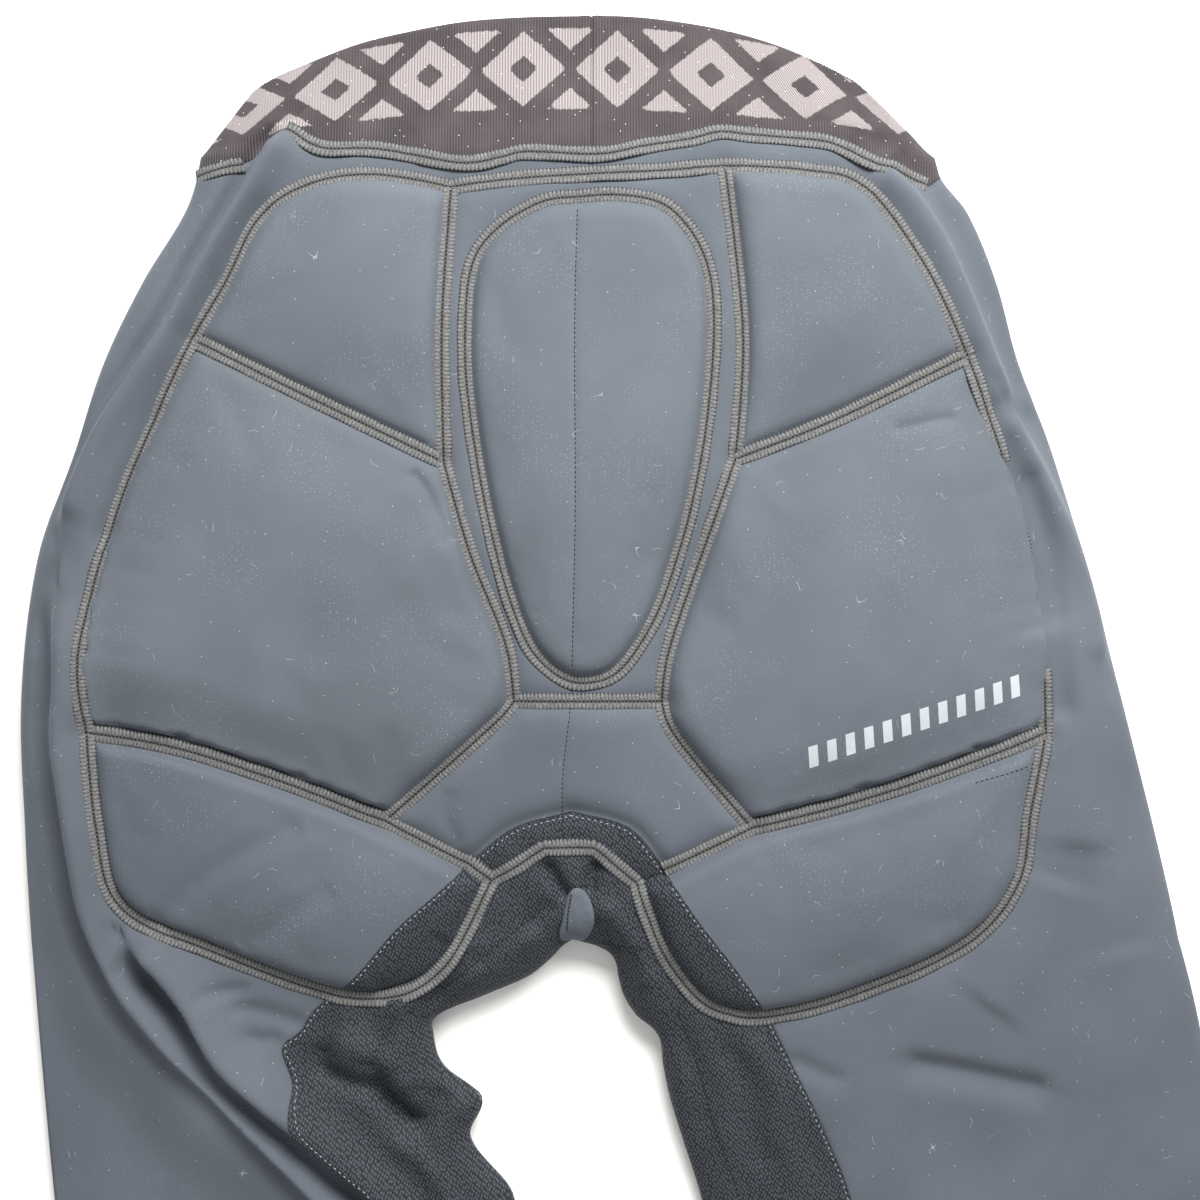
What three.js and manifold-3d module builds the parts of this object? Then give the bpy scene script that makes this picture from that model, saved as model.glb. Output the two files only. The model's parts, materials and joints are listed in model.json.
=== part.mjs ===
// Padded hip protector shorts, lying flat with the back up.
// The frame is in millimetres: +X to the right of the picture, +Y towards the waist, +Z up, and the
// origin on the resting face, on the centre-back line. A place on the shorts is given in two shares:
// "across" is a share of half the hip width, negative on the left, and "down" runs from -1 at the top
// edge of the waistband to 0 at the waist seam, 1 at the crotch fold and 2 at the leg hems.
import * as THREE from 'three';
import Module from 'manifold-3d';
import { mergeVertices } from 'three/addons/utils/BufferGeometryUtils.js';

const wasm = await Module();
wasm.setup();

// Sizes of the whole garment
const hipWidth = 460;
const rise = 320; // waist seam to crotch fold, at the centre back
const legLength = 190; // crotch fold to leg hem
const bandHeight = 56; // knitted waistband, at the centre back
const originBelowWaist = 181;

// How it lies
const loft = 28; // height of the back cloth over the floor at the hips
const foldHeight = 9; // height of the side folds, where back and front cloth meet
const sideRoll = 34; // how far in from a side fold the back cloth is still rounding over
const legRoll = 20; // the same at the inner leg
const frontRoll = 13; // the same for the front cloth, which lies on the floor
const crownFall = 0.12; // share of the height that the back loses from its middle to its sides

// Thicknesses and clearances
const cloth = 1.4;
const bandThickness = 2.2;
const padRise = 8; // foam standing above the cloth
const tailPadRise = 6.5;
const padEdge = 1.6; // step of a pad where its seam holds it down
const padShoulder = 7; // width of a pad's rounded edge
const seamGap = 0.3; // clearance between pieces that are sewn edge to edge
const cutFloor = 5; // cuts that only open the back cloth stop at this height

// Fineness of the meshes
const columns = 13; // across half of a layer
const seamStep = 20; // greatest distance between the points of a seam

const waist = originBelowWaist;
const crotch = waist - rise;
const halfHip = hipWidth / 2;

// Side folds of the garment as it lies.
const sides = [
  { down: -1.0, left: -0.470, right: 0.385 },
  { down: -0.48, left: -0.583, right: 0.520 },
  { down: -0.2, left: -0.636, right: 0.588 },
  { down: 0.02, left: -0.678, right: 0.644 },
  { down: 0.07, left: -0.700, right: 0.694 },
  { down: 0.16, left: -0.775, right: 0.745 },
  { down: 0.26, left: -0.842, right: 0.783 },
  { down: 0.37, left: -0.893, right: 0.841 },
  { down: 0.51, left: -0.960, right: 0.900 },
  { down: 0.69, left: -0.991, right: 0.967 },
  { down: 0.88, left: -0.985, right: 1.034 },
  { down: 1.02, left: -0.974, right: 1.076 },
  { down: 1.24, left: -0.960, right: 1.118 },
  { down: 1.56, left: -0.937, right: 1.150 },
  { down: 2.0, left: -0.896, right: 1.125 },
];

// Folds of the inner legs, from the crotch fold to the hems. The left leg is bunched up.
const innerLegs = [
  { down: 1.0, left: -0.011, right: -0.011 },
  { down: 1.012, left: -0.026, right: 0.034 },
  { down: 1.041, left: -0.048, right: 0.064 },
  { down: 1.082, left: -0.092, right: 0.072 },
  { down: 1.123, left: -0.170, right: 0.082 },
  { down: 1.164, left: -0.252, right: 0.104 },
  { down: 1.205, left: -0.258, right: 0.142 },
  { down: 1.274, left: -0.240, right: 0.152 },
  { down: 1.343, left: -0.172, right: 0.164 },
  { down: 1.431, left: -0.192, right: 0.186 },
  { down: 1.556, left: -0.116, right: 0.219 },
  { down: 1.77, left: -0.100, right: 0.262 },
  { down: 2.0, left: -0.108, right: 0.296 },
];

// Height of the back cloth (share of loft) and of the side folds (share of foldHeight), and how far
// the waist rows curve: arch is the drop from centre back to the sides, dip the further drop to the
// centre front, both as shares of bandHeight.
const heights = [
  { down: -1.0, crown: 0.60, fold: 0.75, arch: 0.52, dip: 0.22 },
  { down: -0.5, crown: 0.68, fold: 0.80, arch: 0.33, dip: 0.18 },
  { down: 0.0, crown: 0.80, fold: 0.88, arch: 0.16, dip: 0.12 },
  { down: 0.15, crown: 0.92, fold: 1.00, arch: 0.08, dip: 0.06 },
  { down: 0.35, crown: 1.00, fold: 1.00, arch: 0.00, dip: 0.00 },
  { down: 0.6, crown: 1.00, fold: 1.00, arch: 0.00, dip: 0.00 },
  { down: 0.8, crown: 0.92, fold: 0.95, arch: 0.00, dip: 0.00 },
  { down: 1.0, crown: 0.76, fold: 0.90, arch: 0.00, dip: 0.00 },
  { down: 1.25, crown: 0.62, fold: 0.80, arch: 0.00, dip: 0.00 },
  { down: 1.6, crown: 0.50, fold: 0.65, arch: 0.00, dip: 0.00 },
  { down: 2.0, crown: 0.42, fold: 0.55, arch: 0.00, dip: 0.00 },
];
const archPower = 2.3;

// Rows of the mesh. A waistband row at 0 stops short of the seam by the seam gap.
const bandRows = [-1, -0.75, -0.5, -0.25, -seamGap / bandHeight];
const bodyRows = [0, 0.05, 0.11, 0.18, 0.26, 0.35, 0.45, 0.55, 0.65, 0.74, 0.82, 0.89, 0.94, 0.975];
const legRows = innerLegs.map((row) => row.down);

// Loose folds of the back cloth: a crest from one place through a second to a third. The height of a
// fold is a share of loft, negative in a valley, and its width is a share of sideRoll.
const folds = [
  { name: 'left side ridge', height: 0.21, width: 0.32,
    crest: [[-0.50, -0.01], [-0.70, 0.22], [-0.88, 0.44]] },
  { name: 'left side valley', height: -0.14, width: 0.26,
    crest: [[-0.62, 0.08], [-0.76, 0.24], [-0.87, 0.36]] },
  { name: 'right side ridge', height: 0.18, width: 0.29,
    crest: [[0.57, 0.05], [0.69, 0.22], [0.84, 0.47]] },
  { name: 'left leg outer fold', height: 0.29, width: 0.29,
    crest: [[-0.86, 0.93], [-0.75, 1.16], [-0.44, 1.54]] },
  { name: 'left leg inner fold', height: 0.25, width: 0.26,
    crest: [[-0.77, 0.99], [-0.59, 1.25], [-0.36, 1.53]] },
  { name: 'left leg valley', height: -0.14, width: 0.26,
    crest: [[-0.92, 1.0], [-0.86, 1.25], [-0.62, 1.6]] },
  { name: 'bunched inner leg', height: 0.18, width: 0.32,
    crest: [[-0.20, 1.09], [-0.31, 1.20], [-0.30, 1.36]] },
  { name: 'right leg crease', height: -0.11, width: 0.24,
    crest: [[0.55, 1.24], [0.68, 1.26], [0.82, 1.31]] },
];

// Places where seams of the padded back meet.
const corners = {
  hipLeft: [-0.674, 0.238],
  topLeft: [-0.221, 0.047],
  topRight: [0.257, 0.020],
  hipRight: [0.678, 0.260],
  tailLeft: [-0.232, 0.394],
  tailRight: [0.274, 0.390],
  yokeLeft: [-0.110, 0.692],
  yokeRight: [0.146, 0.692],
  seatLeft: [-0.856, 0.732],
  seatRight: [0.816, 0.732],
  yokeFootLeft: [-0.336, 0.843],
  yokeFootRight: [0.304, 0.852],
  gussetTopLeft: [-0.190, 0.897],
  gussetTopRight: [0.150, 0.904],
  crotchLeft: [-0.151, 0.918],
  crotchRight: [0.103, 0.921],
  gussetPeak: [-0.011, 0.832],
};

// Seams between two corners, through the places listed.
const seams = {
  topArcLeft: ['hipLeft', [-0.613, 0.164], [-0.553, 0.082], [-0.464, 0.042], [-0.35, 0.032], 'topLeft'],
  topMiddle: ['topLeft', [-0.09, 0.036], [0.10, 0.029], 'topRight'],
  topArcRight: ['topRight', [0.40, 0.026], [0.50, 0.046], [0.598, 0.140], 'hipRight'],
  tailLeftUpper: ['topLeft', [-0.235, 0.220], 'tailLeft'],
  tailRightUpper: ['topRight', [0.287, 0.230], 'tailRight'],
  tailLeftLower: ['tailLeft', [-0.185, 0.510], [-0.125, 0.620], 'yokeLeft'],
  tailRightLower: ['tailRight', [0.225, 0.490], [0.160, 0.625], 'yokeRight'],
  yokeTop: ['yokeLeft', 'yokeRight'],
  hipSeamLeft: ['hipLeft', [-0.480, 0.308], 'tailLeft'],
  hipSeamRight: ['tailRight', [0.450, 0.340], 'hipRight'],
  outerLeft: ['hipLeft', [-0.797, 0.438], [-0.861, 0.620], 'seatLeft'],
  outerRight: ['hipRight', [0.755, 0.430], [0.802, 0.600], 'seatRight'],
  seatSeamLeft: ['seatLeft', [-0.700, 0.750], [-0.530, 0.789], 'yokeFootLeft'],
  seatSeamRight: ['yokeFootRight', [0.487, 0.818], [0.653, 0.778], 'seatRight'],
  yokeSideLeft: ['yokeLeft', [-0.150, 0.724], 'yokeFootLeft'],
  yokeSideRight: ['yokeRight', [0.172, 0.738], 'yokeFootRight'],
  thighTopLeft: ['yokeFootLeft', 'gussetTopLeft'],
  thighTopRight: ['gussetTopRight', 'yokeFootRight'],
  gussetSideLeft: ['gussetTopLeft', 'crotchLeft'],
  gussetSideRight: ['crotchRight', 'gussetTopRight'],
  gussetArcLeft: ['gussetTopLeft', [-0.110, 0.852], 'gussetPeak'],
  gussetArcRight: ['gussetPeak', [0.090, 0.852], 'gussetTopRight'],
  thighHemLeft: ['seatLeft', [-0.838, 0.850], [-0.800, 0.950], [-0.657, 1.006], [-0.458, 1.098],
    [-0.330, 1.112], [-0.230, 1.040], 'crotchLeft'],
  thighHemRight: ['crotchRight', [0.155, 1.010], [0.240, 1.125], [0.340, 1.154], [0.487, 1.100],
    [0.681, 1.000], [0.770, 0.920], [0.790, 0.830], 'seatRight'],
};

// Outer edge of each inner leg panel, from the gusset's top corner to beyond the hem.
const legPanelEdges = {
  left: [[-0.190, 0.897], [-0.342, 1.006], [-0.461, 1.176], [-0.480, 1.300], [-0.400, 1.480],
    [-0.370, 1.700], [-0.380, 2.100]],
  right: [[0.150, 0.904], [0.234, 0.982], [0.347, 1.187], [0.475, 1.531], [0.540, 1.750],
    [0.580, 2.100]],
};

// Outline of the tailbone pad: an egg with its blunt end up. It is widest at a share of its height,
// and the powers make its upper half squarer and its lower half rounder.
const tailPad = { across: 0.0205, top: 0.061, bottom: 0.669, halfWidth: 0.2145, widest: 0.295 };
const tailPadPowers = { upper: 2.7, lower: 1.9 };
const tailPadPoints = 30;

// Charts between shares and millimetres.

function levelOf(down) {
  if (down < 0) return waist - down * bandHeight;
  if (down <= 1) return waist - down * rise;
  return crotch - (down - 1) * legLength;
}

function downOf(y) {
  if (y > waist) return (waist - y) / bandHeight;
  if (y >= crotch) return (waist - y) / rise;
  return 1 + (crotch - y) / legLength;
}

function place([across, down]) {
  return new THREE.Vector2(across * halfHip, levelOf(down));
}

// A column of a table at any "down", on a smooth curve through its rows.
function reading(table, column, down) {
  const last = table.length - 1;
  const at = Math.min(Math.max(down, table[0].down), table[last].down);
  let i = 0;
  while (i < last - 1 && table[i + 1].down < at) i += 1;
  const slope = (k) => {
    const before = table[Math.max(k - 1, 0)];
    const after = table[Math.min(k + 1, last)];
    return (after[column] - before[column]) / (after.down - before.down);
  };
  const span = table[i + 1].down - table[i].down;
  const t = (at - table[i].down) / span;
  const t2 = t * t;
  const t3 = t2 * t;
  return (2 * t3 - 3 * t2 + 1) * table[i][column] + (t3 - 2 * t2 + t) * span * slope(i)
    + (3 * t2 - 2 * t3) * table[i + 1][column] + (t3 - t2) * span * slope(i + 1);
}

// How the garment lies: its edges, and the height of its back and front cloth.

function outerEdge(side, y) {
  return halfHip * reading(sides, side < 0 ? 'left' : 'right', downOf(y));
}

function innerEdge(side, y) {
  const share = reading(innerLegs, side < 0 ? 'left' : 'right', downOf(y));
  return y >= crotch ? centreLine(y) : halfHip * share;
}

// The centre line leans a little, from the origin's line at the waist to the crotch fold.
function centreLine(y) {
  return halfHip * innerLegs[0].left * Math.min(Math.max(downOf(y), 0), 1);
}

function innerLegLine(side) {
  return legRows.map((down) => {
    const y = levelOf(down);
    return new THREE.Vector2(innerEdge(side, y), y);
  });
}

const innerLegLines = [innerLegLine(-1), innerLegLine(1)];

function distanceToLine(x, y, line) {
  let nearest = Infinity;
  for (let i = 0; i < line.length - 1; i += 1) {
    const a = line[i];
    const b = line[i + 1];
    const dx = b.x - a.x;
    const dy = b.y - a.y;
    const along = ((x - a.x) * dx + (y - a.y) * dy) / (dx * dx + dy * dy);
    const t = Math.min(Math.max(along, 0), 1);
    nearest = Math.min(nearest, Math.hypot(x - a.x - t * dx, y - a.y - t * dy));
  }
  return nearest;
}

// A quarter round: 0 at an edge, 1 from the given distance inwards.
function rounding(distance, roll) {
  const left = 1 - Math.min(Math.max(distance / roll, 0), 1);
  return Math.sqrt(1 - left * left);
}

function edgeDistances(x, y) {
  const outer = Math.min(x - outerEdge(-1, y), outerEdge(1, y) - x);
  const inner = Math.min(distanceToLine(x, y, innerLegLines[0]), distanceToLine(x, y, innerLegLines[1]));
  return { outer: Math.max(outer, 0), inner };
}

const foldCrests = folds.map((fold) => {
  const curve = new THREE.SplineCurve(fold.crest.map(place));
  return { ...fold, line: curve.getPoints(12) };
});

function foldRelief(x, y) {
  let relief = 0;
  for (const fold of foldCrests) {
    const offset = distanceToLine(x, y, fold.line) / (fold.width * sideRoll);
    relief += fold.height * loft * Math.exp(-offset * offset);
  }
  return relief;
}

function foldLevel(y) {
  return foldHeight * reading(heights, 'fold', downOf(y));
}

function backHeight(x, y) {
  const down = downOf(y);
  const { outer, inner } = edgeDistances(x, y);
  const left = outerEdge(-1, y);
  const right = outerEdge(1, y);
  const offset = (2 * x - left - right) / (right - left);
  const crown = loft * reading(heights, 'crown', down) * (1 - crownFall * offset * offset);
  const edge = foldLevel(y);
  const round = rounding(outer, sideRoll) * rounding(inner, legRoll);
  return edge + (crown - edge + foldRelief(x, y)) * round;
}

function frontHeight(x, y) {
  const { outer, inner } = edgeDistances(x, y);
  return foldLevel(y) * (1 - rounding(outer, frontRoll) * rounding(inner, frontRoll));
}

// Cloth meshes.

// The points of one half of one layer, row by row from its outer edge to the inner line.
function halfLayer(side, isBack, rows) {
  return rows.map((down) => {
    const arch = bandHeight * reading(heights, 'arch', down);
    const dip = bandHeight * reading(heights, 'dip', down);
    const sideY = levelOf(down) - (down <= 1 ? arch : 0);
    const outerX = outerEdge(side, sideY);
    const row = [];
    for (let column = 0; column <= columns; column += 1) {
      const share = (1 - Math.cos((Math.PI * column) / columns)) / 2;
      const across = 1 - (1 - share) ** archPower;
      const y = sideY + (down < 1 ? (isBack ? arch : -dip) * riseOfRow(1 - share) : 0);
      const innerX = down < 1 ? centreLine(y) : innerEdge(side, sideY);
      const x = column === columns ? innerX : outerX + (innerX - outerX) * share;
      const z = column === 0 ? foldLevel(sideY) : (isBack ? backHeight(x, y) : frontHeight(x, y));
      row.push(new THREE.Vector3(x, y, z));
    }
    return row;
  });
}

// How far a waist row has risen from its level at the sides, 0 there and 1 at the centre.
function riseOfRow(fromCentre) {
  return 1 - Math.abs(fromCentre) ** archPower;
}

function addQuads(positions, rows, flipped) {
  for (let r = 0; r < rows.length - 1; r += 1) {
    for (let c = 0; c < rows[r].length - 1; c += 1) {
      const quad = [rows[r][c], rows[r + 1][c], rows[r + 1][c + 1], rows[r][c + 1]];
      const turned = flipped ? [quad[0], quad[3], quad[2], quad[1]] : quad;
      for (const k of [0, 1, 2, 0, 2, 3]) positions.push(...turned[k].toArray());
    }
  }
}

function welded(positions) {
  const geometry = new THREE.BufferGeometry();
  geometry.setAttribute('position', new THREE.Float32BufferAttribute(positions, 3));
  return mergeVertices(geometry, 1e-3);
}

// The outer face of a stretch of the garment, open at its first and last rows.
function outerFace(rows) {
  const positions = [];
  for (const side of [-1, 1]) {
    for (const isBack of [true, false]) {
      addQuads(positions, halfLayer(side, isBack, rows), isBack === (side > 0));
    }
  }
  return welded(positions);
}

// A closed wall: the outer face, the same face moved inwards, and the rims between them. The rims
// stay square to the length of the garment, so that two walls can meet at them.
function thickened(face, thickness) {
  face.computeVertexNormals();
  const points = face.getAttribute('position');
  const normals = face.getAttribute('normal');
  const index = Array.from(face.index.array);
  const count = points.count;
  const edges = new Set();
  for (let i = 0; i < index.length; i += 3) {
    const [a, b, c] = index.slice(i, i + 3);
    for (const edge of [[a, b], [b, c], [c, a]]) edges.add(edge.join());
  }
  const rims = [...edges].map((edge) => edge.split(',').map(Number))
    .filter(([from, to]) => !edges.has([to, from].join()));
  for (const i of rims.flat()) {
    const reach = Math.hypot(normals.getX(i), normals.getZ(i));
    normals.setXYZ(i, normals.getX(i) / reach, 0, normals.getZ(i) / reach);
  }
  const vertices = [];
  for (const depth of [0, thickness]) {
    for (let i = 0; i < count; i += 1) {
      vertices.push(points.getX(i) - normals.getX(i) * depth, points.getY(i) - normals.getY(i) * depth,
        points.getZ(i) - normals.getZ(i) * depth);
    }
  }
  const triangles = [...index];
  for (let i = 0; i < index.length; i += 3) {
    triangles.push(count + index[i], count + index[i + 2], count + index[i + 1]);
  }
  for (const [from, to] of rims) triangles.push(to, from, count + from, to, count + from, count + to);
  const wall = new THREE.BufferGeometry();
  wall.setAttribute('position', new THREE.Float32BufferAttribute(vertices, 3));
  wall.setIndex(triangles);
  return wall;
}

// Solids for cutting.

function solidOf(geometry) {
  const plain = geometry.clone();
  for (const name of ['normal', 'uv']) plain.deleteAttribute(name);
  const merged = mergeVertices(plain, 1e-4);
  return new wasm.Manifold(new wasm.Mesh({
    numProp: 3,
    vertProperties: new Float32Array(merged.getAttribute('position').array),
    triVerts: new Uint32Array(merged.index.array),
  }));
}

function geometryOf(solid) {
  const mesh = solid.getMesh();
  const geometry = new THREE.BufferGeometry();
  geometry.setAttribute('position', new THREE.BufferAttribute(new Float32Array(mesh.vertProperties), 3));
  geometry.setIndex(Array.from(mesh.triVerts));
  return geometry;
}

function prism(outline, from, to) {
  const geometry = new THREE.ExtrudeGeometry(new THREE.Shape(outline),
    { depth: to - from, bevelEnabled: false });
  geometry.translate(0, 0, from);
  return solidOf(geometry);
}

const overTop = loft + 2 * padRise;
const backPrism = (outline) => prism(outline, cutFloor, overTop);
const wholePrism = (outline) => prism(outline, -foldHeight, overTop);

// Outlines in plan.

// The points of a seam. Every piece that meets at the seam uses the same ones.
function seamLine(stops) {
  const ends = stops.map((stop) => place(typeof stop === 'string' ? corners[stop] : stop));
  const curve = new THREE.SplineCurve(ends);
  const length = curve.getLength();
  return curve.getSpacedPoints(Math.max(1, Math.ceil(length / seamStep)));
}

const seamLines = Object.fromEntries(Object.entries(seams).map(([name, stops]) => [name, seamLine(stops)]));

// A closed outline along the named seams. A name that starts with a minus is followed backwards.
function outlineOf(names) {
  const outline = [];
  for (const name of names) {
    const back = name.startsWith('-');
    const line = seamLines[back ? name.slice(1) : name];
    outline.push(...(back ? [...line].reverse() : line).slice(0, -1));
  }
  return THREE.ShapeUtils.area(outline) < 0 ? outline.reverse() : outline;
}

// An outline that runs anticlockwise, moved inwards by a distance, or outwards if it is negative.
function inset(outline, distance) {
  const count = outline.length;
  return outline.map((point, i) => {
    const before = outline[(i + count - 1) % count];
    const after = outline[(i + 1) % count];
    const first = new THREE.Vector2(before.y - point.y, point.x - before.x).normalize();
    const second = new THREE.Vector2(point.y - after.y, after.x - point.x).normalize();
    const middle = first.clone().add(second).normalize();
    const miter = Math.min(1 / Math.max(middle.dot(first), 0.1), 2);
    return point.clone().addScaledVector(middle, distance * miter);
  });
}

function eggOutline({ across, top, bottom, halfWidth, widest }) {
  const height = levelOf(top) - levelOf(bottom);
  const middle = levelOf(top) - widest * height;
  const outline = [];
  for (let i = 0; i < tailPadPoints; i += 1) {
    const turn = (2 * Math.PI * i) / tailPadPoints;
    const rises = Math.sin(turn) > 0;
    const reach = rises ? levelOf(top) - middle : middle - levelOf(bottom);
    const power = 2 / (rises ? tailPadPowers.upper : tailPadPowers.lower);
    const bent = (value) => Math.sign(value) * Math.abs(value) ** power;
    outline.push(new THREE.Vector2(halfHip * (across + halfWidth * bent(Math.cos(turn))),
      middle + reach * bent(Math.sin(turn))));
  }
  return outline;
}

// A padded panel inside an outline: flat cloth below, a step at its seam, a rounded shoulder, and a
// crowned top. The rings run from the seam to the pad's middle.
function paddedPanel(outline, rises) {
  const border = inset(outline, seamGap / 2);
  const shoulder = inset(outline, padShoulder);
  const centre = shoulder.reduce((sum, p) => sum.add(p), new THREE.Vector2())
    .divideScalar(shoulder.length);
  const ring = (line, scale, lift) => line.map((point) => {
    const at = point.clone().lerp(centre, 1 - scale);
    return new THREE.Vector3(at.x, at.y, backHeight(at.x, at.y) + lift);
  });
  const rings = [
    ring(border, 0.35, -cloth), ring(border, 0.7, -cloth), ring(border, 1, -cloth),
    ring(border, 1, padEdge), ring(shoulder, 1, rises * 0.86),
    ring(shoulder, 0.7, rises), ring(shoulder, 0.35, rises),
  ];
  const positions = [];
  const top = new THREE.Vector3(centre.x, centre.y, backHeight(centre.x, centre.y));
  const foot = top.clone().setZ(top.z - cloth);
  top.z += rises;
  const count = border.length;
  const add = (...corner) => corner.forEach((c) => positions.push(...c.toArray()));
  for (let i = 0; i < count; i += 1) {
    const next = (i + 1) % count;
    add(foot, rings[0][next], rings[0][i]);
    for (let r = 0; r < rings.length - 1; r += 1) {
      add(rings[r][i], rings[r][next], rings[r + 1][next]);
      add(rings[r][i], rings[r + 1][next], rings[r + 1][i]);
    }
    add(rings.at(-1)[i], rings.at(-1)[next], top);
  }
  return welded(positions);
}

const outlines = {
  upperHipLeft: outlineOf(['topArcLeft', 'tailLeftUpper', '-hipSeamLeft']),
  upperHipRight: outlineOf(['topArcRight', '-hipSeamRight', '-tailRightUpper']),
  seatLeft: outlineOf(['hipSeamLeft', 'tailLeftLower', 'yokeSideLeft', '-seatSeamLeft', '-outerLeft']),
  seatRight: outlineOf(['hipSeamRight', 'outerRight', '-seatSeamRight', '-yokeSideRight',
    '-tailRightLower']),
  thighLeft: outlineOf(['seatSeamLeft', 'thighTopLeft', 'gussetSideLeft', '-thighHemLeft']),
  thighRight: outlineOf(['thighHemRight', '-seatSeamRight', '-thighTopRight', '-gussetSideRight']),
  tail: outlineOf(['topMiddle', 'tailRightUpper', 'tailRightLower', '-yokeTop', '-tailLeftLower',
    '-tailLeftUpper']),
  yoke: outlineOf(['yokeTop', 'yokeSideRight', '-thighTopRight', '-gussetArcRight', '-gussetArcLeft',
    '-thighTopLeft', '-yokeSideLeft']),
  tailPad: eggOutline(tailPad),
};

function legPanelOutline(side) {
  const edge = new THREE.SplineCurve(legPanelEdges[side].map(place)).getSpacedPoints(14);
  const arc = side === 'left' ? seamLines.gussetArcLeft : [...seamLines.gussetArcRight].reverse();
  const centreX = halfHip * innerLegs[0].left;
  const outline = [...edge.slice(1).reverse(), ...arc, new THREE.Vector2(centreX, edge.at(-1).y)];
  return THREE.ShapeUtils.area(outline) < 0 ? outline.reverse() : outline;
}

// The garment.

const body = solidOf(thickened(outerFace([...bodyRows, ...legRows]), cloth));

function cutAway(solid, outline, cutter) {
  return solid.subtract(cutter(inset(outline, -seamGap / 2)));
}

function sewnPanel(outline, cutter) {
  return body.intersect(cutter(inset(outline, seamGap / 2)));
}

function bodyShell() {
  let shell = body;
  for (const outline of Object.values(outlines)) shell = cutAway(shell, outline, backPrism);
  for (const side of ['left', 'right']) shell = cutAway(shell, legPanelOutline(side), wholePrism);
  return shell;
}

function legPanel(side) {
  const panel = sewnPanel(legPanelOutline(side), wholePrism);
  return cutAway(panel, side === 'left' ? outlines.thighLeft : outlines.thighRight, backPrism);
}

const fabric = (color, roughness) => new THREE.MeshStandardMaterial({ color, roughness, metalness: 0 });
const stretchCloth = fabric('#3c4450', 0.72);
const meshKnit = fabric('#24272e', 0.9);
const bandKnit = fabric('#574d51', 0.95);
const padCloth = fabric('#454d58', 0.68);

const garment = new THREE.Group();

function add(name, geometry, material) {
  const mesh = new THREE.Mesh(geometry, material);
  mesh.name = name;
  mesh.geometry.computeVertexNormals();
  garment.add(mesh);
}

add('waistband', thickened(outerFace(bandRows), bandThickness), bandKnit);
add('body_shell', geometryOf(bodyShell()), stretchCloth);
add('tail_panel', geometryOf(cutAway(sewnPanel(outlines.tail, backPrism), outlines.tailPad, backPrism)),
  stretchCloth);
add('seat_yoke', geometryOf(sewnPanel(outlines.yoke, backPrism)), stretchCloth);
add('inner_leg_panel_left', geometryOf(legPanel('left')), meshKnit);
add('inner_leg_panel_right', geometryOf(legPanel('right')), meshKnit);
add('tailbone_pad', paddedPanel(outlines.tailPad, tailPadRise), padCloth);
add('upper_hip_pad_left', paddedPanel(outlines.upperHipLeft, padRise), padCloth);
add('upper_hip_pad_right', paddedPanel(outlines.upperHipRight, padRise), padCloth);
add('seat_pad_left', paddedPanel(outlines.seatLeft, padRise), padCloth);
add('seat_pad_right', paddedPanel(outlines.seatRight, padRise), padCloth);
add('thigh_pad_left', paddedPanel(outlines.thighLeft, padRise), padCloth);
add('thigh_pad_right', paddedPanel(outlines.thighRight, padRise), padCloth);

export default garment;
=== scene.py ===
import json
import math
import bpy
import numpy as np
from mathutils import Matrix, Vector, bvhtree, geometry, kdtree

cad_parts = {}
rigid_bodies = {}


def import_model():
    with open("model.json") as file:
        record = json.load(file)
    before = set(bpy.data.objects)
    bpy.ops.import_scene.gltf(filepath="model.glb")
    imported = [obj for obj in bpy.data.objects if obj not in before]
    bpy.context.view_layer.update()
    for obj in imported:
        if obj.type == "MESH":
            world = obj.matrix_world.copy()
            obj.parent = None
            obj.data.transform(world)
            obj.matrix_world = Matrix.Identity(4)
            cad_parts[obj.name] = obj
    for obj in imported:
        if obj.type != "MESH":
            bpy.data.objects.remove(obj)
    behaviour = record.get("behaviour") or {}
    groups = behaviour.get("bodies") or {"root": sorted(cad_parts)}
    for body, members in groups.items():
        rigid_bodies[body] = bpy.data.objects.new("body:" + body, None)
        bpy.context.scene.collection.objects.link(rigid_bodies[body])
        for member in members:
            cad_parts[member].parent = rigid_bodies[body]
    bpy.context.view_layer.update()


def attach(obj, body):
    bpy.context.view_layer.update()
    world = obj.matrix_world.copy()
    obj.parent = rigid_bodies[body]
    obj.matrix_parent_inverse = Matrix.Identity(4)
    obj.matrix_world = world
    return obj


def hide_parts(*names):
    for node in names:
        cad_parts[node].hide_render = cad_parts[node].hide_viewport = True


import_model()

chance = np.random.default_rng(7)

# ---- Body shell ------------------------------------------------------------------------------------
# The body of the shorts: slate-blue warp-knit jersey of nylon and elastane, cut as one wrap and sewn
# into a tube with two short legs. It lies back up, so its sides and legs are creased into loose folds.
# Lengths are in mm. "Across" is a share of half the hip width, and "down" runs from -1 at the top of
# the waistband to 0 at the waist seam, 1 at the crotch and 2 at the leg hems.
half_hip = 230.0
waist, rise, leg_length, band_height = 181.0, 320.0, 190.0, 56.0
crotch = waist - rise
loft, fold_height, side_roll, leg_roll, front_roll = 28.0, 9.0, 34.0, 20.0, 13.0
crown_fall, arch_power = 0.12, 2.3
seam_arch, seam_half = 0.16, 156.0  # the waist seam's arch as a share of the band, and half its width
jersey_thickness, knit_thickness, band_thickness = 0.9, 0.8, 1.8
seam_step = 2.5
channel_depth, channel_width = 0.8, 4.5
slope_share, slope_width = 0.92, 42.0

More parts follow.
